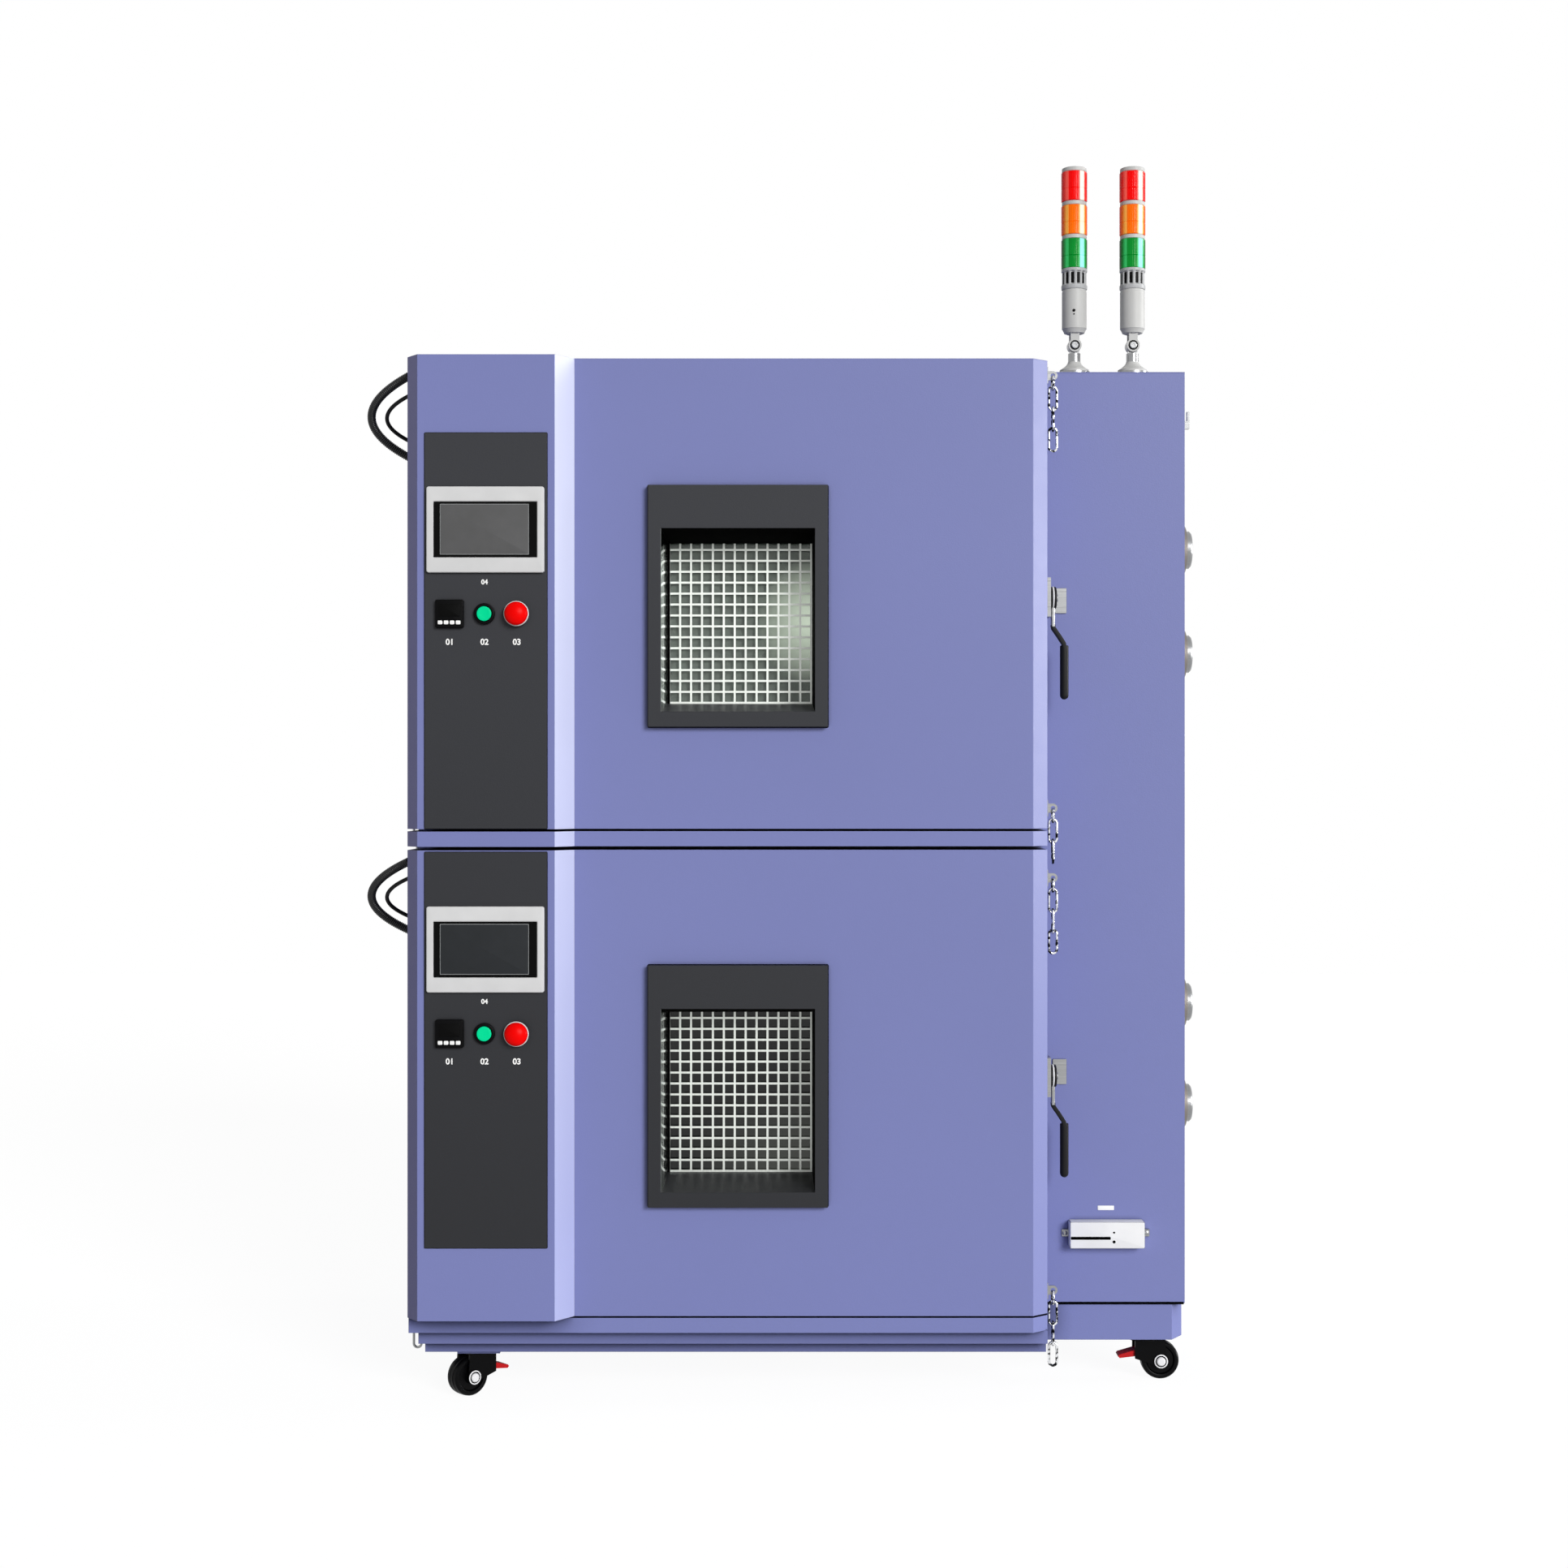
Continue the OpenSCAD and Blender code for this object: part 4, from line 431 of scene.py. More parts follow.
# %% Plastics and rubber
def moulded(name, colour, gloss, grain, depth, shine=0.2):
    """Moulded plastic or rubber: grain is the noise scale, depth its relief in metres."""
    finish = Finish(name)
    relief = finish.noise(grain, 2.0)
    finish.bump(relief, depth)
    return finish.set(
        Base_Color=finish.mix(finish.noise(24, 2.0), scaled(colour, 0.86), colour),
        Roughness=gloss + 0.1 * relief,
        Specular_IOR_Level=shine,
    )


switch_black = moulded("switch_black", paint_colour(7, 7, 8), 0.34, 1600, 0.00005, 0.05)
# Black for painted shade: the wells' top and right sheets, the rings round plates, the bar at the
# guard, the slot and the bay seam.
shade_black = moulded("shade_black", paint_colour(4, 4, 4), 0.8, 700, 0.0001, 0.02)
grip_black = moulded("grip_black", paint_colour(16, 16, 18), 0.40, 1100, 0.00009, 0.16)
caster_black = moulded("caster_black", paint_colour(4, 4, 5), 0.26, 1200, 0.00006, 0.07)
tyre_black = moulded("tyre_black", paint_colour(5, 5, 6), 0.32, 700, 0.00010, 0.07)
conduit_black = moulded("conduit_black", paint_colour(20, 20, 22), 0.30, 900, 0.00006, 0.3)
button_green = moulded("button_green", paint_colour(2, 222, 152), 0.3, 1700, 0.00003, 0.06)
button_red = moulded("button_red", paint_colour(244, 2, 1), 0.3, 1700, 0.00003, 0.06)
pedal_red = moulded("pedal_red", paint_colour(190, 16, 20), 0.4, 1200, 0.00006)
bezel_silver = moulded("bezel_silver", paint_colour(213, 213, 213), 0.36, 1500, 0.00004)
box_white = moulded("box_white", paint_colour(236, 236, 236), 0.42, 1300, 0.00005)
tower_white = moulded("tower_white", paint_colour(198, 198, 196), 0.36, 1500, 0.00004)
collar_grey = moulded("collar_grey", paint_colour(184, 185, 186), 0.32, 1500, 0.00004)
print_white = moulded("print_white", paint_colour(250, 250, 248), 0.5, 2000, 0.00001)
seal_silicone = moulded("seal_silicone", paint_colour(176, 84, 64), 0.5, 500, 0.0001)
wool = moulded("insulation_wool", paint_colour(214, 204, 170), 0.85, 260, 0.002)
print("finishes so far:", len(bpy.data.materials))

# %% [markdown]
# The panes are clear glass with a faint green edge. Each pane glows with a soft patch of painted
# light, strong on the upper pane, though no lamp is behind it: a sphere-shaped gradient round one
# spot feeds the emission colour. The lower pane is tinted nearly black, as painted shade. The
# display panels are dark glass over a dim screen, with a haze of finger marks.

# %% Glass
def pane_glass(name, tint, spot, reach, glow, shine):
    """Clear pane that glows with painted light; the patch fades from its middle, spot, to nothing at
    reach metres.
    """
    finish = Finish(name)
    haze = finish.noise(6, 4.0)
    away = finish.node(
        "ShaderNodeMapping", {"vector_type": "TEXTURE"},
        {"Vector": finish.place, "Location": spot, "Scale": reach},
    )
    glow_patch = finish.node("ShaderNodeTexGradient", {"gradient_type": "SPHERICAL"}, {"Vector": away}, 1)
    # Painted light: the glowing patch on the pane.
    painted_glow_colour = finish.mix(glow_patch * (0.7 + 0.6 * haze), (0, 0, 0, 1), paint_colour(216, 223, 208))
    return finish.set(
        Base_Color=tint,
        Roughness=0.02 + 0.03 * haze,
        IOR=1.45,
        Specular_IOR_Level=shine,
        Transmission_Weight=0.82,
        Emission_Color=painted_glow_colour,
        Emission_Strength=glow,
    )


def display_glass(name, colour):
    """Dark glass over a dim screen, with a haze of finger marks that is a little bluer."""
    finish = Finish(name)
    haze = finish.noise(45, 4.0)
    red, green, blue, _ = colour
    return finish.set(
        Base_Color=finish.mix(haze, colour, (red * 1.2, green * 1.2, blue * 1.22, 1)),
        Roughness=0.3 + 0.12 * haze,
        Specular_IOR_Level=0.06,
    )


# Painted light on both panes; the lower pane's dark tint is painted shade.
upper_pane = pane_glass(
    "upper_pane", paint_colour(186, 198, 188), (0.030, -0.36, 1.352), (0.085, 0.08, 0.110), 0.35, 0.5
)
lower_pane = pane_glass(
    "lower_pane", paint_colour(38, 43, 40), (-0.02, -0.36, 0.40), (0.15, 0.08, 0.13), 0.05, 0.06
)
display_line = display_glass("display_line", paint_colour(132, 134, 134))
display_grey = display_glass("display_grey", paint_colour(86, 86, 86))
display_dark = display_glass("display_dark", paint_colour(42, 44, 46))
display_edge = display_glass("display_edge", paint_colour(2, 2, 2))
print("glass:", upper_pane.name, lower_pane.name, display_grey.name, display_dark.name)

# %% [markdown]
# The lenses of the signal towers are tinted plastic tubes. Light and shade are painted across
# each tube: both sides are painted deep as shade, and two painted highlights run up it, a narrow
# bright stripe on the left and a broad white one on the right. The lens also glows faintly with
# these colours, though no lamp is lit in it. Both towers share the material, so the distance from
# the tower's axis is the remainder of X by the towers' spacing.

# %% Signal lenses
TOWER_X = {"left": 0.510, "right": 0.614}
LENS_R = 0.023


def signal_lens(name, deep, colour, bright):
    """A ramp across the tube: painted shade at both sides, the lens's colour, and two painted
    highlights.
    """
    finish = Finish(name)
    spacing = TOWER_X["right"] - TOWER_X["left"]
    along = finish.node("ShaderNodeSeparateXYZ", {}, {"Vector": finish.place}, "X")
    past_first = along - (TOWER_X["left"] - LENS_R)
    from_edge = past_first.math("FLOORED_MODULO", past_first, spacing)
    # Painted highlights: the bright colour, and white at the broad stripe on the right.
    white = scaled(bright, 9.0)
    stops = [
        (0.0, deep), (0.07, colour), (0.15, bright), (0.21, bright), (0.25, colour), (0.60, colour),
        (0.65, bright), (0.69, white), (0.82, white), (0.86, bright), (0.90, colour), (1.0, deep),
    ]
    across = finish.node("ShaderNodeValToRGB", {"stops": stops}, {"Fac": from_edge * (0.5 / LENS_R)})
    lens_light_and_shade = finish.mix(0.25 * finish.noise(60, 2.0), across, deep)
    # The painted colours also glow, though no lamp is lit in the lens.
    return finish.set(
        Base_Color=lens_light_and_shade,
        Roughness=0.16 + 0.08 * finish.noise(300, 2.0),
        Specular_IOR_Level=0.1,
        Emission_Color=lens_light_and_shade,
        Emission_Strength=0.12,
    )


lens_green = signal_lens(
    "lens_green", paint_colour(0, 70, 22), paint_colour(1, 140, 44), paint_colour(60, 205, 110)
)
lens_amber = signal_lens(
    "lens_amber", paint_colour(226, 60, 2), paint_colour(250, 112, 2), paint_colour(255, 186, 84)
)
lens_red = signal_lens(
    "lens_red", paint_colour(206, 0, 0), paint_colour(244, 2, 2), paint_colour(255, 100, 88)
)
print("lenses:", lens_green.name, lens_amber.name, lens_red.name)

# %% [markdown]
# Now every construction node gets its finish. A table from finish to nodes keeps this in one
# place; upper and lower deck share theirs.

# %% Dress the construction nodes
DECKS = ("upper", "lower")


def on_both_decks(*names):
    """The names of the nodes that the upper and the lower deck both have."""
    return [f"{deck}_{name}" for deck in DECKS for name in names]


wheel_places = ("front_left", "front_right", "rear_left", "rear_right")
dress_of = [
    (lavender, ["side_panels", "roof_panel", "rear_panel", "service_panel", "front_frame",
                *on_both_decks("door_shell", "relief_hatch")]),
    (plinth_coat, ["base_frame"]),
    (liner_steel, ["chamber_liners", "shelf_racks", *on_both_decks("inner_panel", "shelf")]),
    (guard_steel, on_both_decks("window_guard")),
    (fitting_steel, ["cabinet_fittings", *(f"port_cap_{i}" for i in range(1, 5)),
                     *on_both_decks("door_fittings", "fan")]),
    (port_steel, ["port_tubes"]),
    (wool, ["insulation"]),
    (motor_grey, ["fan_motors"]),
    (anthracite, on_both_decks("window_bezel", "control_plate")),
    (upper_pane, ["upper_window_glass"]),
    (lower_pane, ["lower_window_glass"]),
    (bezel_silver, on_both_decks("instruments")),
    (button_green, on_both_decks("green_button")),
    (button_red, on_both_decks("stop_button")),
    (grip_black, on_both_decks("handle")),
    (chain_bright, on_both_decks("chains")),
    (conduit_black, on_both_decks("conduit")),
    (tower_white, ["left_tower", "right_tower"]),
    (caster_black, [f"{place}_fork" for place in wheel_places]),
    (tyre_black, [f"{place}_wheel" for place in wheel_places]),
    (pedal_red, ["front_left_pedal", "front_right_pedal"]),
]
for material, nodes in dress_of:
    for node in nodes:
        slots = frame["nodes"][node].data.materials
        slots.clear()
        slots.append(material)
print("dressed", sum(len(nodes) for _, nodes in dress_of), "of", len(frame["nodes"]), "nodes")

# %% [markdown]
# Almost every new piece here is a stack of closed loops: circles for turned parts, rounded
# rectangles for housings, circles along a path for tubes. One function joins the loops with
# quads, so each piece only has to say where its loops are.

# %% Join loops into a piece
def skin(rows, columns, ring):
    """Quads between neighbouring loops; with ring the last loop also meets the first."""
    row = np.arange(rows if ring else rows - 1)[:, None]
    column = np.arange(columns)[None, :]
    next_row = (row + 1) % rows
    next_column = (column + 1) % columns
    corners = [
        row * columns + column, row * columns + next_column,
        next_row * columns + next_column, next_row * columns + column,
    ]
    return np.stack(np.broadcast_arrays(*corners), axis=-1).reshape(-1, 4)


def make_piece(name, loops, material, body, ring=False, sharp=35):
    """A closed piece from loops, an array of rows x columns x 3 in metres, riding on a body."""
    rows, columns = loops.shape[:2]
    faces = skin(rows, columns, ring).tolist()
    if not ring:
        faces.append(list(range(columns)))
        faces.append(list(range((rows - 1) * columns, rows * columns)))
    mesh = bpy.data.meshes.new(name)
    mesh.from_pydata(loops.reshape(-1, 3).tolist(), [], faces)
    work = bmesh.new()
    work.from_mesh(mesh)
    bmesh.ops.remove_doubles(work, verts=work.verts, dist=1e-6)
    bmesh.ops.recalc_face_normals(work, faces=work.faces)
    work.to_mesh(mesh)
    work.free()
    mesh.polygons.foreach_set("use_smooth", np.ones(len(mesh.polygons), dtype=bool))
    mesh.set_sharp_from_angle(angle=math.radians(sharp))
    mesh.materials.append(material)
    piece = bpy.data.objects.new(name, mesh)
    bpy.context.scene.collection.objects.link(piece)
    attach(piece, body)
    return piece


# %% [markdown]
# A turned part is a profile spun about an axis, as on a lathe. A housing is a slab: one rounded
# rectangle over another, each drawn in a little where its edge is rounded.

# %% Loops of turned parts and slabs
def lathe(profile, sides=48):
    """Loops (r cos a, r sin a, h) for each (r, h) of the profile, about the local Z axis."""
    radius, height = np.array(profile, float).T
    angle = np.linspace(0, 2 * np.pi, sides, endpoint=False)
    return np.stack(
        np.broadcast_arrays(
            radius[:, None] * np.cos(angle), radius[:, None] * np.sin(angle), height[:, None]
        ),
        axis=-1,
    )


def rounded_outline(width, height, corner, steps=5):
    """A rectangle in local XY, its corners quarter circles of radius corner."""
    angle = np.linspace(0, np.pi / 2, steps)
    sides = []
    for turn, (sign_x, sign_y) in enumerate(((1, 1), (-1, 1), (-1, -1), (1, -1))):
        a = angle + turn * np.pi / 2
        centre = np.array([sign_x * (width / 2 - corner), sign_y * (height / 2 - corner)])
        sides.append(centre + corner * np.stack([np.cos(a), np.sin(a)], axis=-1))
    return np.concatenate(sides)


def slab(width, height, corner, levels):
    """Rounded rectangles, one for each (inset, lift) of levels, stacked along local Z."""
    loops = []
    for inset, lift in levels:
        outline = rounded_outline(width - 2 * inset, height - 2 * inset, max(corner - inset, 1e-4))
        loops.append(np.column_stack([outline, np.full(len(outline), lift)]))
    return np.array(loops)


def bevelled(thickness, bevel, back=0.0):
    """Levels of a slab whose front edge is rounded: a quarter circle of radius bevel."""
    angle = np.linspace(0, np.pi / 2, 4)
    curve = [(bevel * (1 - math.cos(a)), thickness - bevel * (1 - math.sin(a))) for a in angle]
    return [(0.0, back), *curve]


# %% [markdown]
# Loops are worked out flat, and then turned and moved to their place, because the piece's own
# origin has to stay at the oven's. A tube is a stack of circles across its path.

# %% Turn, place and carry loops
TO_FRONT = np.array([[1, 0, 0], [0, 0, 1], [0, -1, 0]], float)
TO_RIGHT = np.array([[0, 1, 0], [0, 0, 1], [1, 0, 0]], float)
TO_LEFT = np.array([[0, -1, 0], [0, 0, 1], [-1, 0, 0]], float)
UPRIGHT = np.eye(3)


def place(loops, origin, facing=TO_FRONT):
    """Local X, Y and Z turned to the rows of facing, then moved to origin."""
    return loops @ facing + np.array(origin, float)


def turned(name, profile, centre, material, body, facing=TO_FRONT, sides=48, ring=False):
    """A turned piece: its profile of (r, h) spun about the axis that facing gives."""
    return make_piece(name, place(lathe(profile, sides), centre, facing), material, body, ring)


def flat_piece(name, outline, levels, centre, material, body, facing=TO_FRONT):
    """A slab on an outline (width, height, corner), with its middle at centre."""
    return make_piece(name, place(slab(*outline, levels), centre, facing), material, body)


def tube(path, radius, across, sides=16):
    """Circles round a flat path. across is the normal of the path's plane."""
    path = np.asarray(path, float)
    along = np.gradient(path, axis=0)
    along /= np.linalg.norm(along, axis=1)[:, None]
    across = np.asarray(across, float) / np.linalg.norm(across)
    outward = np.cross(along, across)
    angle = np.linspace(0, 2 * np.pi, sides, endpoint=False)
    radius = np.broadcast_to(np.asarray(radius, float), len(path))
    return (
        path[:, None, :]
        + radius[:, None, None] * np.cos(angle)[None, :, None] * across
        + radius[:, None, None] * np.sin(angle)[None, :, None] * outward[:, None, :]
    )


def spaced(path, count):
    """count points at equal distances along a path."""
    steps = np.linalg.norm(np.diff(path, axis=0), axis=1)
    travelled = np.concatenate([[0], np.cumsum(steps)])
    wanted = np.linspace(0, travelled[-1], count)
    return np.column_stack([np.interp(wanted, travelled, path[:, axis]) for axis in range(3)])


def path_length(path):
    """The sum of the distances from each point to the next."""
    return float(np.linalg.norm(np.diff(path, axis=0), axis=1).sum())


# %% [markdown]
# The touch screen is a silver housing with a rounded edge, a black inner step, and a display that
# sits back from it inside a thin grey line. A housing with an opening is a ring of loops: out over
# the front edge and back in again.

# %% Touch screens
plate_low, plate_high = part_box("upper_control_plate")
PLATE_MIDDLE = (plate_low.x + plate_high.x) / 2
PLATE_FRONT = plate_low.y
SCREEN_W, SCREEN_H, SCREEN_T = 0.200, 0.146, 0.008
OPENING_W, OPENING_H = 0.176, 0.095
SCREEN_UP, CONTROLS_UP = 0.508, 0.365


def plate_foot(deck):
    """The height at which a deck's control plate starts."""
    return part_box(f"{deck}_control_plate")[0].z


def housing_loops(corner=0.004, bevel=0.0018, lip=0.0012, step=0.004):
    """A ring of loops: back edge, rounded front edge, and the step down into the opening."""
    outer = slab(SCREEN_W, SCREEN_H, corner, bevelled(SCREEN_T, bevel))
    down = [(-lip, SCREEN_T), (0.0, SCREEN_T - lip), (0.0, SCREEN_T - step), (0.0, 0.0)]
    return np.concatenate([outer, slab(OPENING_W, OPENING_H, lip, down)])


def add_screen(deck, display):
    """Housing, black border, grey line and display, each a little lower than the one round it."""
    body = f"{deck}_door"
    middle = np.array([PLATE_MIDDLE, PLATE_FRONT, plate_foot(deck) + SCREEN_UP])
    in_the_border = middle + (-0.0015, 0, 0.0005)
    return [
        make_piece(f"{deck}_screen_housing", place(housing_loops(), middle), bezel_silver, body,
                   ring=True),
        flat_piece(f"{deck}_screen_border", (OPENING_W, OPENING_H, 0.001),
                   [(0, 0), (0, SCREEN_T - 0.0025)], middle, display_edge, body),
        flat_piece(f"{deck}_screen_line", (OPENING_W - 0.025, OPENING_H - 0.009, 0.001),
                   [(0, 0.001), (0, SCREEN_T - 0.0022)], in_the_border, display_line, body),
        flat_piece(f"{deck}_screen_display", (OPENING_W - 0.027, OPENING_H - 0.011, 0.001),
                   [(0, 0.001), *bevelled(SCREEN_T - 0.0018, 0.0002)[1:]], in_the_border, display,
                   body),
    ]


screens = {"upper": add_screen("upper", display_grey), "lower": add_screen("lower", display_dark)}
for deck in DECKS:
    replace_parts(screens[deck][0], f"{deck}_instruments")
print("screens at", [round(plate_foot(deck) + SCREEN_UP, 3) for deck in DECKS])

# %% [markdown]
# Below each screen is a square limiter with a small dark window and a row of keys, then the green
# push button and the red mushroom button, each in a black collar. The mushroom has a bright skirt
# under its head. Plain numbers under the controls tell them apart.

# %% The limiter and the buttons
LIMITER = 0.048
LIMITER_KEYS, KEY_PITCH = 4, 0.0102
COLLAR_T = 0.0070


def add_limiter(deck, centre):
    """A square block with a dark window over a row of four pale keys."""
    body = f"{deck}_door"
    flat_piece(f"{deck}_limiter", (LIMITER, LIMITER, 0.003), bevelled(0.009, 0.0016), centre,
               switch_black, body)
    window = np.array(centre) + (0, 0, 0.006)
    flat_piece(f"{deck}_limiter_window", (0.036, 0.022, 0.001), bevelled(0.0096, 0.0004, 0.005),
               window, display_edge, body)
    for column in range(LIMITER_KEYS):
        key = np.array(centre) + ((column - 1.5) * KEY_PITCH, 0, -0.0150)
        flat_piece(f"{deck}_limiter_key_{column + 1}", (0.0080, 0.0066, 0.0016),
                   bevelled(0.0102, 0.0007, 0.005), key, print_white, body)


def add_collar(deck, name, centre, outer, bore, lip=0.0012):
    """A black ring: up the outside, over a rounded lip, and down the bore."""
    profile = [
        (bore, 0), (outer, 0), (outer, COLLAR_T - lip), (outer - lip * 0.3, COLLAR_T - lip * 0.3),
        (outer - lip, COLLAR_T), (bore + lip, COLLAR_T), (bore, COLLAR_T - lip),
    ]
    turned(f"{deck}_{name}_collar", profile, centre, switch_black, f"{deck}_door", ring=True)


def add_green(deck, centre):
    """The push button: a flat cap with a soft edge and a dished middle."""
    profile = [(0, 0.0036), (0.0125, 0.0036), (0.0125, 0.0082), (0.0121, 0.0090),
               (0.0112, 0.0094), (0.0080, 0.0090), (0, 0.0086)]
    cap = turned(f"{deck}_green_cap", profile, centre, button_green, f"{deck}_green_button")
    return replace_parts(cap, f"{deck}_green_button")


def add_mushroom(deck, centre):
    """The mushroom: neck, undercut, and a head that is part of a sphere, over a bright skirt."""
    head_z, rim, rise = 0.0125, 0.020, 0.0128
    angle = np.radians(np.linspace(8, 90, 12))
    dome = [(rim * math.cos(a), head_z + 0.0022 + rise * math.sin(a)) for a in angle]
    profile = [(0, 0.0056), (0.011, 0.0056), (0.011, head_z), (rim - 0.002, head_z),
               (rim - 0.0004, head_z + 0.0008), (rim, head_z + 0.0022), *dome]
    skirt = [(0.0165, 0.0100), (0.0206, 0.0100), (0.0214, 0.0106), (0.0214, 0.0120),
             (0.0208, 0.0126), (0.0165, 0.0126)]
    body = f"{deck}_stop_button"
    head = turned(f"{deck}_mushroom", profile, centre, button_red, body, sides=64)
    turned(f"{deck}_mushroom_skirt", skirt, centre, bezel_silver, body, sides=64, ring=True)
    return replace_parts(head, f"{deck}_stop_button")


print("helpers ready for", len(DECKS), "rows of controls")

# %% [markdown]
# The figures are a flat curve of Blender's own typeface, made a mesh before it is placed, so that
# the piece's origin stays at the oven's.

# %% Place the controls and print their numbers
LIMITER_IN, GREEN_IN, STOP_IN = 0.043, 0.102, 0.157
BELOW, ABOVE = (0, -0.0001, -0.048), (0, -0.0001, 0.054)
PRINT_T, PRINT_BOLD = 0.00015, 0.00040


def add_number(deck, number, centre, height):
    """A printed number as a thin mesh, standing 0.15 mm proud of the plate."""
    name = f"{deck}_number_{number}"
    curve = bpy.data.curves.new(name, "FONT")
    curve.body = f"0{number}"
    curve.size = height * 1.4
    curve.align_x, curve.align_y = "CENTER", "CENTER"
    curve.extrude = PRINT_T
    curve.offset = PRINT_BOLD
    figures = bpy.data.objects.new(name, curve)
    bpy.context.scene.collection.objects.link(figures)
    bpy.context.view_layer.update()
    mesh = bpy.data.meshes.new_from_object(figures)
    bpy.data.objects.remove(figures)
    points = np.empty(len(mesh.vertices) * 3)
    mesh.vertices.foreach_get("co", points)
    mesh.vertices.foreach_set("co", place(points.reshape(-1, 3), centre).reshape(-1))
    mesh.materials.clear()
    mesh.materials.append(print_white)
    piece = bpy.data.objects.new(name, mesh)
    bpy.context.scene.collection.objects.link(piece)
    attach(piece, f"{deck}_door")


for deck in DECKS:
    row_z = plate_foot(deck) + CONTROLS_UP
    spots = [(plate_low.x + shift, PLATE_FRONT, row_z) for shift in (LIMITER_IN, GREEN_IN, STOP_IN)]
    add_limiter(deck, spots[0])
    add_collar(deck, "green", spots[1], 0.018, 0.0126)
    add_collar(deck, "stop", spots[2], 0.0155, 0.0111)
    add_green(deck, spots[1])
    add_mushroom(deck, spots[2])
    for number, spot in enumerate(spots, start=1):
        add_number(deck, number, np.array(spot) + BELOW, 0.0100)
    add_number(deck, 4, np.array(spots[1]) + ABOVE, 0.0080)
    print(deck, "controls at", round(row_z, 3))

# %% [markdown]
# The window is a deep well whose four sides slope in to the guard. Its left side is polished
# steel, which mirrors the guard's bars, and its top and right sides carry black sheets of painted
# shade. Each lining is one flat sheet between two corners at the front and two at the guard. A
# black bar of painted shade marks the dark gap where the left side meets the guard.

# %% Linings of the window wells
WELL_FRONT, WELL_GUARD, LINING_GAP = -0.4885, -0.3748, 0.001
WELL_W, WELL_H, BEZEL_SIDE, BEZEL_LOW = 0.266, 0.316, 0.021, 0.025
SLOPE_IN = {"left": 0.008, "right": 0.004, "low": 0.018, "high": 0.016}
# Painted shade: a black bar at the gap between the well's left side and the guard.
GAP_SHADE_X, GAP_SHADE_W, GAP_SHADE_T = -0.2132, 0.0078, 0.0012


def well_corners(deck):
    """Front and guard corners, each in the order low left, high left, high right, low right."""
    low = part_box(f"{deck}_window_bezel")[0]
    left, bottom = low.x + BEZEL_SIDE, low.z + BEZEL_LOW
    right, top = left + WELL_W, bottom + WELL_H

    def drawn_in(y, on_left, on_right, at_foot, at_top):
        return np.array([
            (left + on_left, y, bottom + at_foot), (left + on_left, y, top - at_top),
            (right - on_right, y, top - at_top), (right - on_right, y, bottom + at_foot),
        ])

    return drawn_in(WELL_FRONT, *4 * [LINING_GAP]), drawn_in(WELL_GUARD, *SLOPE_IN.values())


def lining(four, inwards):
    """A sheet 0.6 mm thick on four corners: the outline, then the same lifted and drawn in."""
    middle = four.mean(axis=0)
    normal = np.cross(four[1] - four[0], four[3] - four[0])
    normal /= np.linalg.norm(normal)
    normal *= np.sign(normal @ (inwards - middle))
    levels = ((0.996, -0.0001), (0.996, 0.0004), (0.990, 0.0006))
    return np.array([middle + size * (four - middle) + lift * normal for size, lift in levels])


def add_gap_shade(deck):
    """A black bar of painted shade, a flat bar with soft edges, in front of the guard's left rim."""
    low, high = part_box(f"{deck}_window_guard")
    centre = (GAP_SHADE_X, low.y - 0.0002, (low.z + high.z) / 2)
    flat_piece(f"{deck}_guard_gap_shade", (GAP_SHADE_W, high.z - low.z - 0.004, 0.001),
               bevelled(GAP_SHADE_T, 0.0005), centre, shade_black, f"{deck}_door")


for deck in DECKS:
    add_gap_shade(deck)
    front, back = well_corners(deck)
    inwards = (front.mean(axis=0) + back.mean(axis=0)) / 2
    # The top and right sheets are black painted shade; the left one is polished steel.
    for name, (i, j), material in (
        ("left", (0, 1), mirror_steel), ("top", (1, 2), shade_black), ("right", (2, 3), shade_black)
    ):
        four = np.array([front[i], front[j], back[j], back[i]])
        make_piece(f"{deck}_well_{name}", lining(four, inwards), material, f"{deck}_door")
    print(deck, "well", np.ptp(front[:, [0, 2]], axis=0).round(3), "m wide and high at the front")

# %% [markdown]
# A fine black ring round each plate and window frame is painted shade: the dark line at its edge.
# Each ring is made of loops: the outside, a rounded top, the inside.

# %% Rings of painted shade round the plates and the window frames
BEZEL_BACK = -0.474


def add_shade_ring(deck, node, back, rim, thickness):
    """A black ring of painted shade round the plate of a node, rim wide, its outer edge rounded by 0.3
    mm.
    """
    low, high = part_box(f"{deck}_{node}")
    width, height = high.x - low.x, high.z - low.z
    outer = slab(width, height, 0.001,
                 [(-rim, 0), (-rim, thickness - 0.0003), (0.0003 - rim, thickness)])
    inner = slab(width, height, 0.001, [(0.0001, thickness), (0.0001, 0)])
    middle = ((low.x + high.x) / 2, back, (low.z + high.z) / 2)
    return make_piece(f"{deck}_{node}_shade_ring", place(np.concatenate([outer, inner]), middle),
                      shade_black, f"{deck}_door", ring=True)


for deck in DECKS:
    rings = [add_shade_ring(deck, "control_plate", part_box(f"{deck}_control_plate")[1].y, 0.0009, 0.0016),
             add_shade_ring(deck, "window_bezel", BEZEL_BACK, 0.0016, 0.002)]
    print(deck, [ring.name for ring in rings])

# %% [markdown]
# A silicone seal runs round the inner side of each door and meets the face of the cabinet. It is
# a square ring, moulded as one piece, so its skin is again a ring of loops, facing backwards.

# %% Silicone seals of the doors
SEAL_W, SEAL_T, DOOR_BACK = 0.020, 0.0059, -0.364
TO_BACK = np.array([[-1, 0, 0], [0, 0, 1], [0, 1, 0]], float)


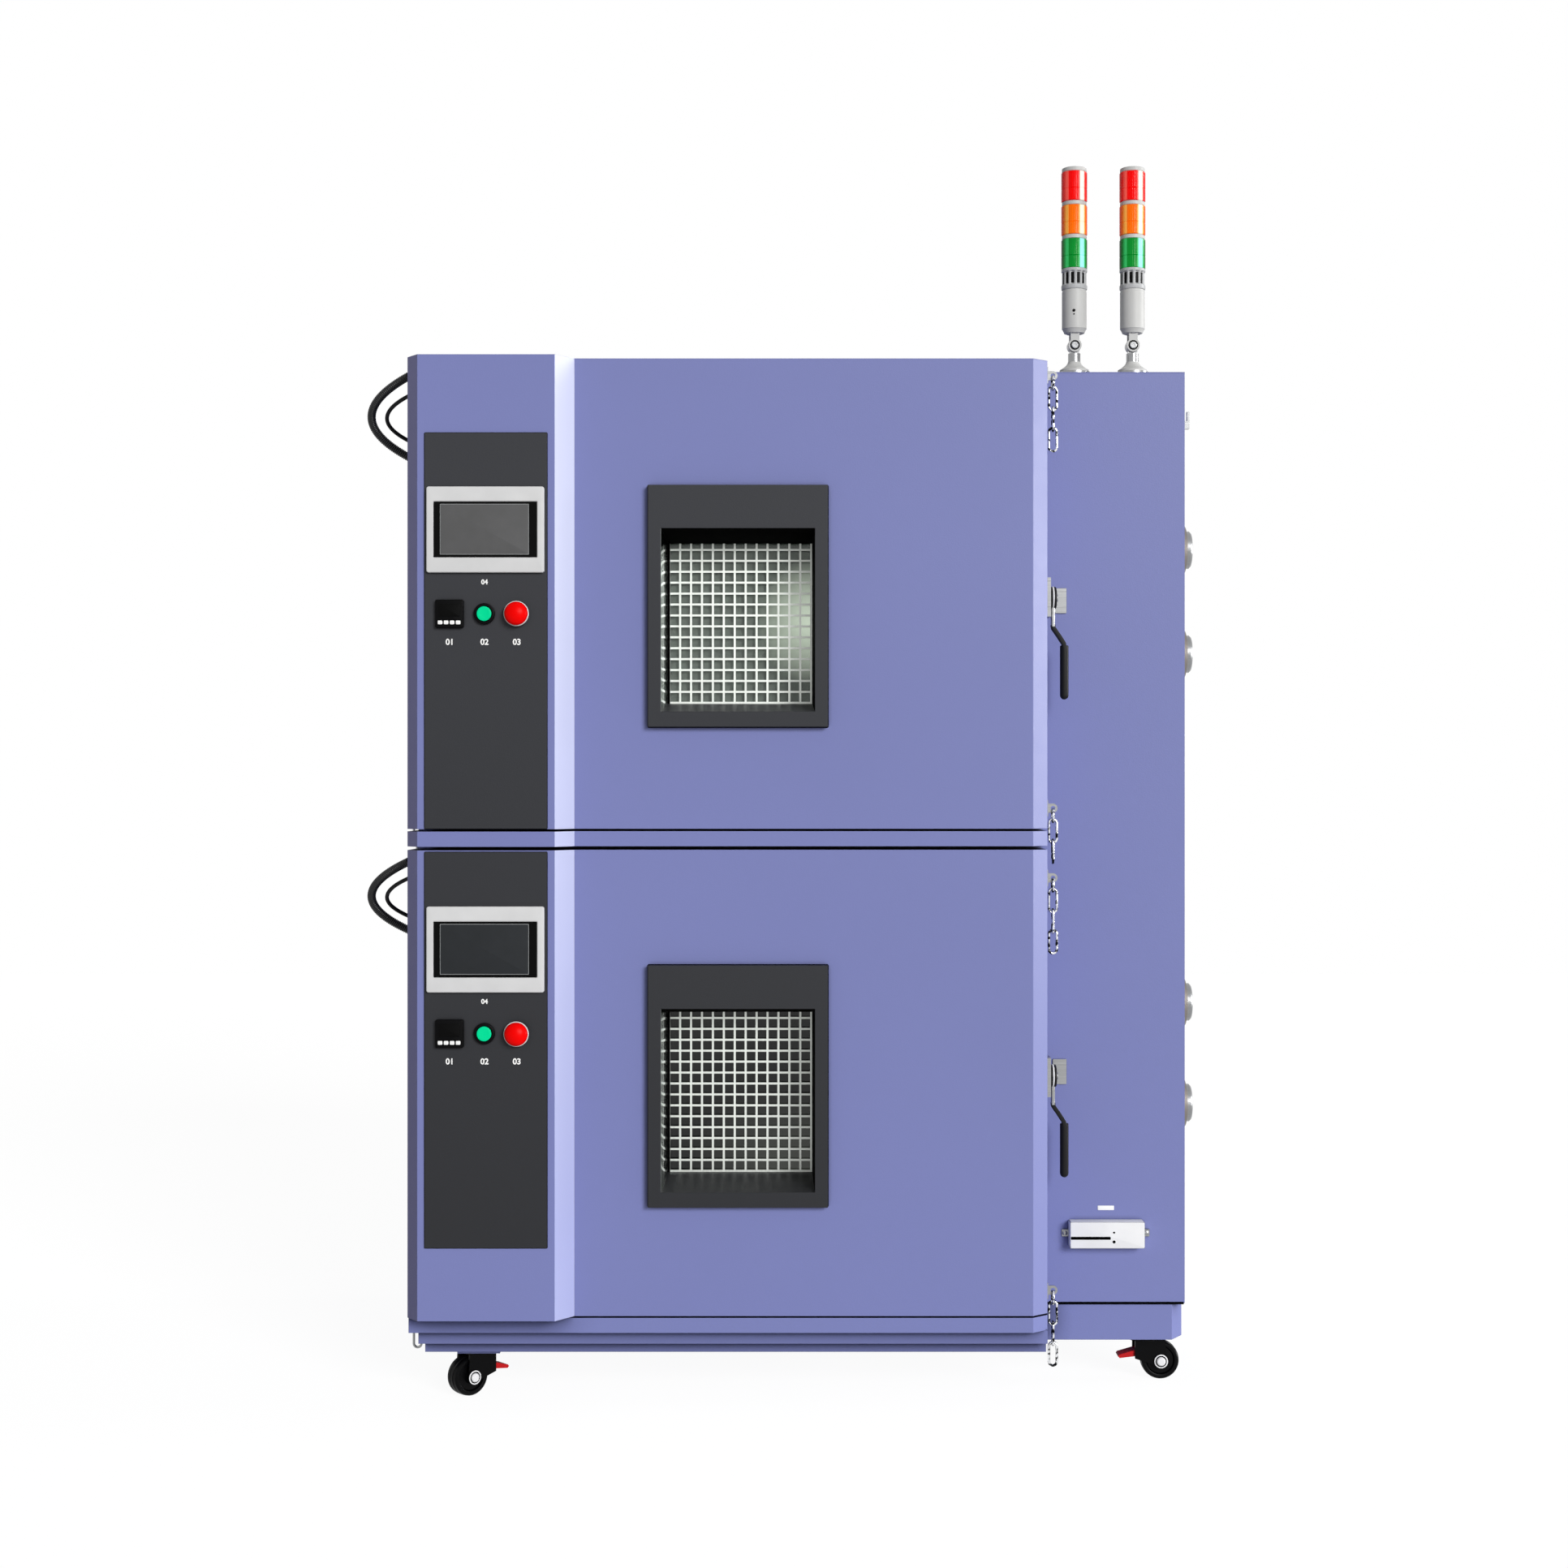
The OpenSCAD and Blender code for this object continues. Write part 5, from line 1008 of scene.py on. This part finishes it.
def add_seal(deck, edge=0.0003):
    """A ring as wide as SEAL_W with a small bevel on both edges of its face."""
    low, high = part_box(f"{deck}_inner_panel")
    width, height = high.x - low.x, high.z - low.z
    outer = slab(width, height, 0.001, [(-edge, 0), (-edge, SEAL_T - edge), (0, SEAL_T)])
    inner = slab(width - 2 * SEAL_W, height - 2 * SEAL_W, 0.001,
                 [(0, SEAL_T), (edge, SEAL_T - edge), (edge, 0)])
    centre = ((low.x + high.x) / 2, DOOR_BACK, (low.z + high.z) / 2)
    return make_piece(f"{deck}_door_seal", place(np.concatenate([outer, inner]), centre, TO_BACK),
                      seal_silicone, f"{deck}_door", ring=True)


print("seals", [add_seal(deck).name for deck in DECKS])

# %% [markdown]
# Each door is held by a lever on its right side: a pale plate on the door's edge, a black hub with
# a bright band, a flat steel arm that bends outwards, and a round black grip. The bent parts are
# flat bars, so they are slabs carried along a short path, with their edges rounded.

# %% Lever handles
PIVOT_Y = -0.400
PIVOT_Z = {"upper": 1.391, "lower": 0.556}
HUB_X, HUB_T, STUD_R = 0.4553, 0.011, 0.00605
ARM_X = HUB_X + HUB_T / 2
GRIP_X, GRIP_R = ARM_X + 0.020, 0.0075


def bar_along(path, width, thickness, corner=0.0012):
    """A flat bar whose section, width along Y and thickness across, follows a path in XZ."""
    path = np.asarray(path, float)
    along = np.gradient(path, axis=0)
    along /= np.linalg.norm(along, axis=1)[:, None]
    outline = rounded_outline(width, thickness, corner)
    across = np.array([0.0, 1.0, 0.0])
    outward = np.cross(along, across)
    return (
        path[:, None, :]
        + outline[None, :, :1] * across
        + outline[None, :, 1:] * outward[:, None, :]
        + np.array([0, PIVOT_Y, 0])
    )


def add_handle(deck):
    """Hub, bright band, arm, bend, grip and the tongue that passes under the keeper."""
    body = f"{deck}_handle"
    z = PIVOT_Z[deck]
    centre = (HUB_X, PIVOT_Y, z)
    hub = [(STUD_R, 0), (0.0185, 0), (0.0195, 0.001), (0.0195, HUB_T - 0.0012), (0.0183, HUB_T),
           (STUD_R, HUB_T)]
    band = [(0.0194, 0.0042), (0.0199, 0.0044), (0.0199, 0.0066), (0.0194, 0.0068)]
    arm = [(ARM_X, 0, z - 0.016), (ARM_X, 0, z - 0.032), (ARM_X, 0, z - 0.050)]
    bend = [(ARM_X, 0, z - 0.047), (ARM_X + 0.001, 0, z - 0.053), (ARM_X + 0.010, 0, z - 0.066),
            (GRIP_X - 0.001, 0, z - 0.080), (GRIP_X, 0, z - 0.087)]
    quarter = [np.linspace(0, np.pi / 2, steps) for steps in (6, 4)]
    end = [(GRIP_R * math.sin(a), -0.088 - GRIP_R * math.cos(a)) for a in quarter[0]]
    top = [(GRIP_R * math.cos(a), -0.002 + 0.002 * math.sin(a)) for a in quarter[1]]
    parts = [
        turned(f"{deck}_lever_hub", hub, centre, grip_black, body, TO_RIGHT, ring=True),
        turned(f"{deck}_lever_band", band, centre, box_white, body, TO_RIGHT, ring=True),
        make_piece(f"{deck}_lever_arm", bar_along(arm, 0.016, 0.006), fitting_steel, body),
        make_piece(f"{deck}_lever_bend", bar_along(bend, 0.0155, 0.0075), grip_black, body),
        turned(f"{deck}_lever_grip", [*end, *top], (GRIP_X, PIVOT_Y, z - 0.082), grip_black, body,
               UPRIGHT),
        flat_piece(f"{deck}_lever_tongue", (0.040, 0.008, 0.0015),
                   [(0.0004, 0), (0, 0.0004), (0, 0.0056), (0.0004, 0.006)],
                   (ARM_X - 0.003, PIVOT_Y + 0.020, z - 0.0085), fitting_steel, body, TO_RIGHT),
    ]
    for part in parts:
        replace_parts(part, f"{deck}_handle")
    return parts


print("lever pieces", [len(add_handle(deck)) for deck in DECKS])

# %% [markdown]
# A corrugated conduit carries the screen's wires from the door to the cabinet, with a thin cable
# inside its loop. The loop is a parabola in a plane that leans back, which leaves both glands at a
# right angle. The corrugation is a cosine added to the radius along the length.

# %% Conduits over the hinges
LOOP_UNDER_TOP = 0.022
DOOR_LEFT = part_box("upper_door_shell")[0].x
DOOR_TOP = {deck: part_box(f"{deck}_door_shell")[1].z for deck in DECKS}
LEAN = math.radians(42)
CONDUIT_MIDDLE_Y = -0.361
GLAND = 0.008
CONDUIT_BULGE, CONDUIT_HALF, CONDUIT_R = 0.074, 0.090, 0.0075
CABLE_BULGE, CABLE_HALF, CABLE_R = 0.047, 0.052, 0.0035
ACROSS = np.array([0, math.cos(LEAN), math.sin(LEAN)])


def loop_path(deck, bulge, half, count):
    """Points of the parabola x = -bulge (1 - u^2), from the door's gland to the cabinet's."""
    u = np.linspace(-1, 1, 400)
    middle_z = DOOR_TOP[deck] - LOOP_UNDER_TOP - CONDUIT_HALF * math.cos(LEAN)
    path = np.column_stack([
        DOOR_LEFT - GLAND - bulge * (1 - u**2),
        CONDUIT_MIDDLE_Y + u * half * math.sin(LEAN),
        middle_z - u * half * math.cos(LEAN),
    ])
    return spaced(path, count)


def add_loop(deck, name, bulge, half, radius, ridge, pitch, material):
    """A tube on the parabola, its ridges as deep as ridge; it runs from the door's gland to the
    cabinet's.
    """
    path = loop_path(deck, bulge, half, 560 if ridge else 90)
    length = path_length(path)
    travelled = np.linspace(0, length, len(path))
    wave = 0.5 + 0.5 * np.cos(2 * np.pi * travelled / pitch)
    loops = tube(path, radius - ridge * (1 - wave), ACROSS, 20)
    piece = make_piece(f"{deck}_{name}", loops, material, f"{deck}_door", sharp=80)
    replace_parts(piece, f"{deck}_conduit")
    piece.parent = None
    piece.matrix_world.identity()
    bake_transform(piece)
    return round(length, 3)


for deck in DECKS:
    conduit = add_loop(deck, "corrugated_conduit", CONDUIT_BULGE, CONDUIT_HALF, CONDUIT_R,
                       0.0011, 0.0036, conduit_black)
    cable = add_loop(deck, "inner_cable", CABLE_BULGE, CABLE_HALF, CABLE_R, 0.0, 1.0, grip_black)
    print(deck, "conduit", conduit, "m, cable", cable, "m")

# %% [markdown]
# Glands are the nuts that grip a conduit where it enters the sheet. Each is a hexagon with
# chamfered corners and a round collar behind it.

# %% Cable glands
def add_gland(name, end, conduit_r, body):
    """A hexagonal nut between the sheet and the end of a conduit."""
    flats = conduit_r + 0.0042
    nut = lathe([(0, 0), (flats * 0.9, 0), (flats, 0.0008), (flats, 0.0052), (flats * 0.9, 0.006),
                 (conduit_r + 0.001, 0.0062), (conduit_r + 0.0006, 0.0082), (0, 0.0082)], 6)
    centre = (DOOR_LEFT, end[1], end[2])
    return make_piece(name, place(nut, centre, TO_LEFT), switch_black, body, sharp=20)


for deck in DECKS:
    for label, bulge, half, radius in (
        ("conduit", CONDUIT_BULGE, CONDUIT_HALF, CONDUIT_R),
        ("cable", CABLE_BULGE, CABLE_HALF, CABLE_R),
    ):
        ends = loop_path(deck, bulge, half, 60)
        add_gland(f"{deck}_{label}_door_gland", ends[0], radius, f"{deck}_door")
        add_gland(f"{deck}_{label}_cabinet_gland", ends[-1], radius, "cabinet")
    print(deck, "conduit and cable end in four glands")

# %% [markdown]
# A signal tower is turned plastic: a white body, a grey collar with ribs over a dark core, and
# three lenses with white rings between them. It folds sideways about a pin between two cheeks.
# Heights are counted from that pin, because the whole tower turns about it.

# %% Profiles of a signal tower
tower_low, tower_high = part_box("left_tower")
TOWER_Y = (tower_low.y + tower_high.y) / 2
TOWER_FOLD_Z = 1.849
LENS_H, RING_H = 0.052, 0.008
BODY_UP, BODY_H, COLLAR_H = 0.029, 0.071, 0.037
COLLAR_LOW = BODY_UP + BODY_H
COLLAR_HIGH = COLLAR_LOW + COLLAR_H
BODY_R = LENS_R - 0.001
CHEEK_R, NECK_HALF = 0.012, 0.008

body_profile = [
    (0, 0.021), (0.014, 0.021), (0.018, 0.0225), (BODY_R - 0.001, BODY_UP),
    (BODY_R, BODY_UP + 0.001), (BODY_R, BODY_UP + BODY_H - 0.004),
    (BODY_R - 0.0008, BODY_UP + BODY_H - 0.0032), (BODY_R - 0.0008, BODY_UP + BODY_H),
    (0, BODY_UP + BODY_H),
]
collar_profile = [
    (0, COLLAR_LOW), (LENS_R - 0.0005, COLLAR_LOW), (LENS_R, COLLAR_LOW + 0.001),
    (LENS_R, COLLAR_LOW + 0.007), (LENS_R - 0.0012, COLLAR_LOW + 0.009),
    (LENS_R - 0.0012, COLLAR_HIGH - 0.007), (LENS_R, COLLAR_HIGH - 0.005),
    (LENS_R, COLLAR_HIGH - 0.001), (LENS_R - 0.0008, COLLAR_HIGH), (0, COLLAR_HIGH),
]
core_profile = [(0, COLLAR_LOW + 0.010), (0.0204, COLLAR_LOW + 0.010),
                (0.0204, COLLAR_HIGH - 0.008), (0, COLLAR_HIGH - 0.008)]
screw_profile = [
    (0, -0.0143), (0.004, -0.0143), (0.004, 0.0124), (0.0062, 0.0124), (0.0062, 0.0136),
    (0.0054, 0.0143), (0.0022, 0.0143), (0.0020, 0.0136), (0, 0.0136),
]
washer_profile = [(0.0066, 0.0123), (0.0086, 0.0123), (0.0086, 0.0129), (0.0066, 0.0129)]


def lens_profile(z):
    """A tube from z up, with a fine groove at 0.42 of its height."""
    seam, top = z + 0.42 * LENS_H, z + LENS_H
    return [(0, z), (LENS_R - 0.001, z), (LENS_R, z + 0.001), (LENS_R, z + 0.004),
            (LENS_R, seam - 0.0009), (LENS_R - 0.0009, seam), (LENS_R, seam + 0.0009),
            (LENS_R, top - 0.004), (LENS_R, top - 0.001), (LENS_R - 0.001, top), (0, top)]


def ring_profile(z):
    """A white ring from z up, its edges bevelled."""
    return [(0, z), (BODY_R - 0.0015, z), (BODY_R, z + 0.0012), (BODY_R, z + RING_H - 0.0012),
            (BODY_R - 0.0015, z + RING_H), (0, z + RING_H)]


print("tower reaches", round(TOWER_FOLD_Z + COLLAR_HIGH + 3 * (LENS_H + RING_H), 3), "m")

# %% [markdown]
# The ribs of the collar and of the lenses are a small cosine on the radius, taken from the angle,
# so they cost no extra pieces. The two cheeks that hold the pin are a disc with a neck, so they
# have an outline of their own.

# %% Put the towers together
def ribbed(profile, sides, ribs, depth, first, last):
    """A lathe whose loops from first to last swell in and out ribs times round."""
    loops = lathe(profile, sides)
    angle = np.arctan2(loops[..., 1], loops[..., 0])
    swell = 1 + depth * (np.cos(ribs * angle) - 1) / 2
    rows = np.arange(len(profile))[:, None]
    swell = np.where((rows >= first) & (rows <= last), swell, 1)
    loops[..., :2] *= swell[..., None]
    return loops


def cheek_loops(near):
    """A disc round the pin with a neck up to the body, 5 mm thick from near, its rims bevelled."""
    start = math.acos(NECK_HALF / CHEEK_R)
    a = np.linspace(start, -np.pi - start, 40)
    disc = CHEEK_R * np.column_stack([np.cos(a), np.sin(a)])
    neck = [(-NECK_HALF, 0.024), (-CHEEK_R, 0.0295), (CHEEK_R, 0.0295), (NECK_HALF, 0.024)]
    outline = np.concatenate([disc, neck])
    lifts = ((0.95, near), (1, near + 0.0006), (1, near + 0.0044), (0.95, near + 0.005))
    return np.array([np.column_stack([size * outline, np.full(len(outline), lift)])
                     for size, lift in lifts])


def add_tower(side):
    """The tower from its body up to the red lens, then the cheeks, the pin and its washer."""
    body = f"{side}_tower"
    foot = np.array([TOWER_X[side], TOWER_Y, TOWER_FOLD_Z])
    pieces = []

    def add(name, loops, material, facing=UPRIGHT, ring=False):
        pieces.append(make_piece(f"{side}_tower_{name}", place(loops, foot, facing), material,
                                 body, ring=ring))

    add("body", lathe(body_profile), tower_white)
    add("collar", ribbed(collar_profile, 144, 12, 0.14, 4, 5), collar_grey)
    add("core", lathe(core_profile, 96), switch_black)
    tiers = (("green", lens_green), ("amber", lens_amber), ("red", lens_red))
    for tier, (name, material) in enumerate(tiers):
        z = COLLAR_HIGH + tier * (LENS_H + RING_H)
        add(f"{name}_lens", ribbed(lens_profile(z), 160, 40, 0.02, 3, 7), material)
        add(f"ring_{tier + 1}", lathe(ring_profile(z + LENS_H)), tower_white)
    add("cheek_front", cheek_loops(0.0073), tower_white, TO_FRONT)
    add("cheek_back", cheek_loops(-0.0123), tower_white, TO_FRONT)
    add("screw", lathe(screw_profile, 32), fitting_steel, TO_FRONT)
    add("washer", lathe(washer_profile, 40), switch_black, TO_FRONT, ring=True)
    for piece in pieces:
        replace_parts(piece, body)
    return pieces


tower_pieces = [add_tower(side) for side in TOWER_X]
print("tower pieces", [len(pieces) for pieces in tower_pieces])

# %% [markdown]
# Each tower stands on a flared foot: a cone that runs from the flange up into the post in one
# hollow curve. A pin hole on the front of the left body shows as two black discs of painted shade.

# %% Tower feet and the pin hole's painted shade
BAY_TOP = TOWER_FOLD_Z - 0.052
FOOT_BORE, FLANGE_R, FLANGE_TOP = 0.0108, 0.0262, 0.0049

rise = np.linspace(0, 1, 9)
flare = np.column_stack([0.0113 + 0.0147 * (1 - rise) ** 1.7, 0.0085 + 0.0145 * rise])
foot_profile = [(FOOT_BORE, FLANGE_TOP), (FLANGE_R, FLANGE_TOP), *flare.tolist(),
                (FOOT_BORE, 0.0230)]
for side, x in TOWER_X.items():
    turned(f"{side}_tower_foot", foot_profile, (x, TOWER_Y, BAY_TOP), tower_white, "cabinet",
           UPRIGHT, 64, ring=True)
# Painted shade: two black discs stand for the dark pin hole.
hole_shade = np.array([(0, 0), (0.0026, 0), (0.0026, 0.0006), (0.0018, 0.0009), (0, 0.0009)])
for index, (lift, size) in enumerate(((0.0600, 1.0), (0.0535, 0.5))):
    spot = (TOWER_X["left"] - 0.003, TOWER_Y - LENS_R + 0.0013, TOWER_FOLD_Z + lift)
    turned(f"left_tower_plug_{index + 1}", hole_shade * (size, 1), spot, switch_black, "left_tower",
           sides=24)
print("feet at", round(BAY_TOP, 3))

# %% [markdown]
# The service box on the bay is a white plastic housing with a slot, two small windows and a screw
# at each side, and a small blank plate above it. Where the foot of the bay's panel meets the
# plinth, a dark strip of painted shade marks the shadow line.

# %% Service box, its plate and the seam
BOX_X, BOX_Z, BOX_W, BOX_H, BOX_T = 0.496, 0.247, 0.131, 0.046, 0.027
BAY_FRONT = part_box("service_panel")[0].y
BAY_SKIN = 0.0004
SEAM_X, SEAM_Z, SEAM_W, SEAM_H = 0.5745, 0.145, 0.252, 0.0044


def on_the_bay(right, up):
    """A point on the bay's front, counted from the box's lower left corner."""
    return (BOX_X + right, BAY_FRONT, BOX_Z + up)


box_centre = on_the_bay(BOX_W / 2, BOX_H / 2)
flat_piece("service_box_cover", (BOX_W + 2 * BAY_SKIN, BOX_H + 2 * BAY_SKIN, 0.003),
           bevelled(BOX_T + BAY_SKIN, 0.002), box_centre, box_white, "cabinet")
# Painted shade: the slot is a black bar.
flat_piece("service_box_slot", (0.070, 0.0052, 0.001),
           [(0, BOX_T - 0.001), (0, BOX_T + BAY_SKIN + 0.0002)], on_the_bay(0.036, 0.018),
           shade_black, "cabinet")
for index, (lift, r) in enumerate(((0.0115, 0.0027), (0.0280, 0.0018))):
    profile = [(0, BOX_T - 0.001), (r, BOX_T - 0.001), (r, BOX_T + 0.0008), (0, BOX_T + 0.0012)]
    turned(f"service_box_window_{index + 1}", profile, on_the_bay(0.077, lift), display_edge,
           "cabinet", sides=24)
screw_head = [(0, 0.003), (0.0045, 0.003), (0.0045, 0.0042), (0.003, 0.0052), (0, 0.0054)]
for name, side in (("left", -1), ("right", 1)):
    spot = (box_centre[0] + side * (BOX_W / 2 + 0.007), BAY_FRONT, box_centre[2])
    turned(f"service_box_screw_{name}", screw_head, spot, fitting_steel, "cabinet", sides=32)
flat_piece("bay_plate", (0.029, 0.008, 0.001), bevelled(0.0010, 0.0004), on_the_bay(0.066, 0.067),
           print_white, "cabinet")
# Painted shade: the dark strip at the foot of the bay's panel.
flat_piece("bay_seam_shade", (SEAM_W, SEAM_H, 0.0008), [(0, -0.001), *bevelled(0.0009, 0.0005)],
           (SEAM_X, BAY_FRONT, SEAM_Z), shade_black, "cabinet")
print("service box at", [round(v, 3) for v in box_centre])

# %% [markdown]
# A caster wheel is turned: a rubber tread with two grooves, a recessed web, and a boss round the
# axle. Its axle caps shine. The wheel lies in the plane that its own fork was turned to, so the
# piece is built on the axis of the wheel's own joint rather than on a typed angle. The profile is
# the same on both sides, so half of it is written and the rest is its mirror image.

# %% Caster wheels
WHEEL_R, WHEEL_W = 0.034, 0.030
JOINT_OF = {joint["child"]: joint for joint in frame["joints"]}

groove = [(0, -0.0065), (0.0014, -0.0055), (0.0014, -0.0045), (0, -0.0035)]
tread = [(WHEEL_R - deep, w) for deep, w in groove]
tread += [(r, -w) for r, w in reversed(tread)]
flank = [(0.0052, 0), (0.0115, 0), (0.013, 0.004), (WHEEL_R - 0.0105, 0.0045),
         (WHEEL_R - 0.0085, 0.0008), (WHEEL_R - 0.0065, 0), (WHEEL_R - 0.003, 0.0006),
         (WHEEL_R - 0.0008, 0.0028)]
wheel_profile = [(r, inset - WHEEL_W / 2) for r, inset in flank] + tread
wheel_profile += [(r, WHEEL_W / 2 - inset) for r, inset in reversed(flank)]
cap_profile = [(0, 0.0236), (0.0078, 0.0236), (0.0078, 0.0256), (0.0062, 0.0272), (0, 0.0276)]
rim_profile = [(0.0102, 0.0236), (0.0122, 0.0236), (0.0122, 0.0244), (0.0116, 0.0248),
               (0.0102, 0.0248)]


def add_wheel(spot):
    """A tyre on the wheel's own axle, and on both sides a cap with a bright rim round it."""
    body, fork = f"{spot}_wheel", f"{spot}_fork"
    centre = JOINT_OF[body]["pos_m"]
    axle = np.array(JOINT_OF[body]["axis"], float)
    axle /= np.linalg.norm(axle)
    up = np.array([0, 0, 1.0])
    facing = np.array([np.cross(up, axle), up, axle])
    wheel = turned(f"{spot}_tyre", wheel_profile, centre, tyre_black, body, facing, 72, ring=True)
    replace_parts(wheel, body)
    for label, sign in (("b", -1), ("a", 1)):
        side = facing * np.array([[1], [1], [sign]])
        turned(f"{spot}_axle_cap_{label}", cap_profile, centre, box_white, fork, side, 32)
        turned(f"{spot}_axle_rim_{label}", rim_profile, centre, box_white, fork, side, 40, ring=True)
    return tuple(round(v, 3) for v in centre)


print("wheels", [add_wheel(spot) for spot in wheel_places])
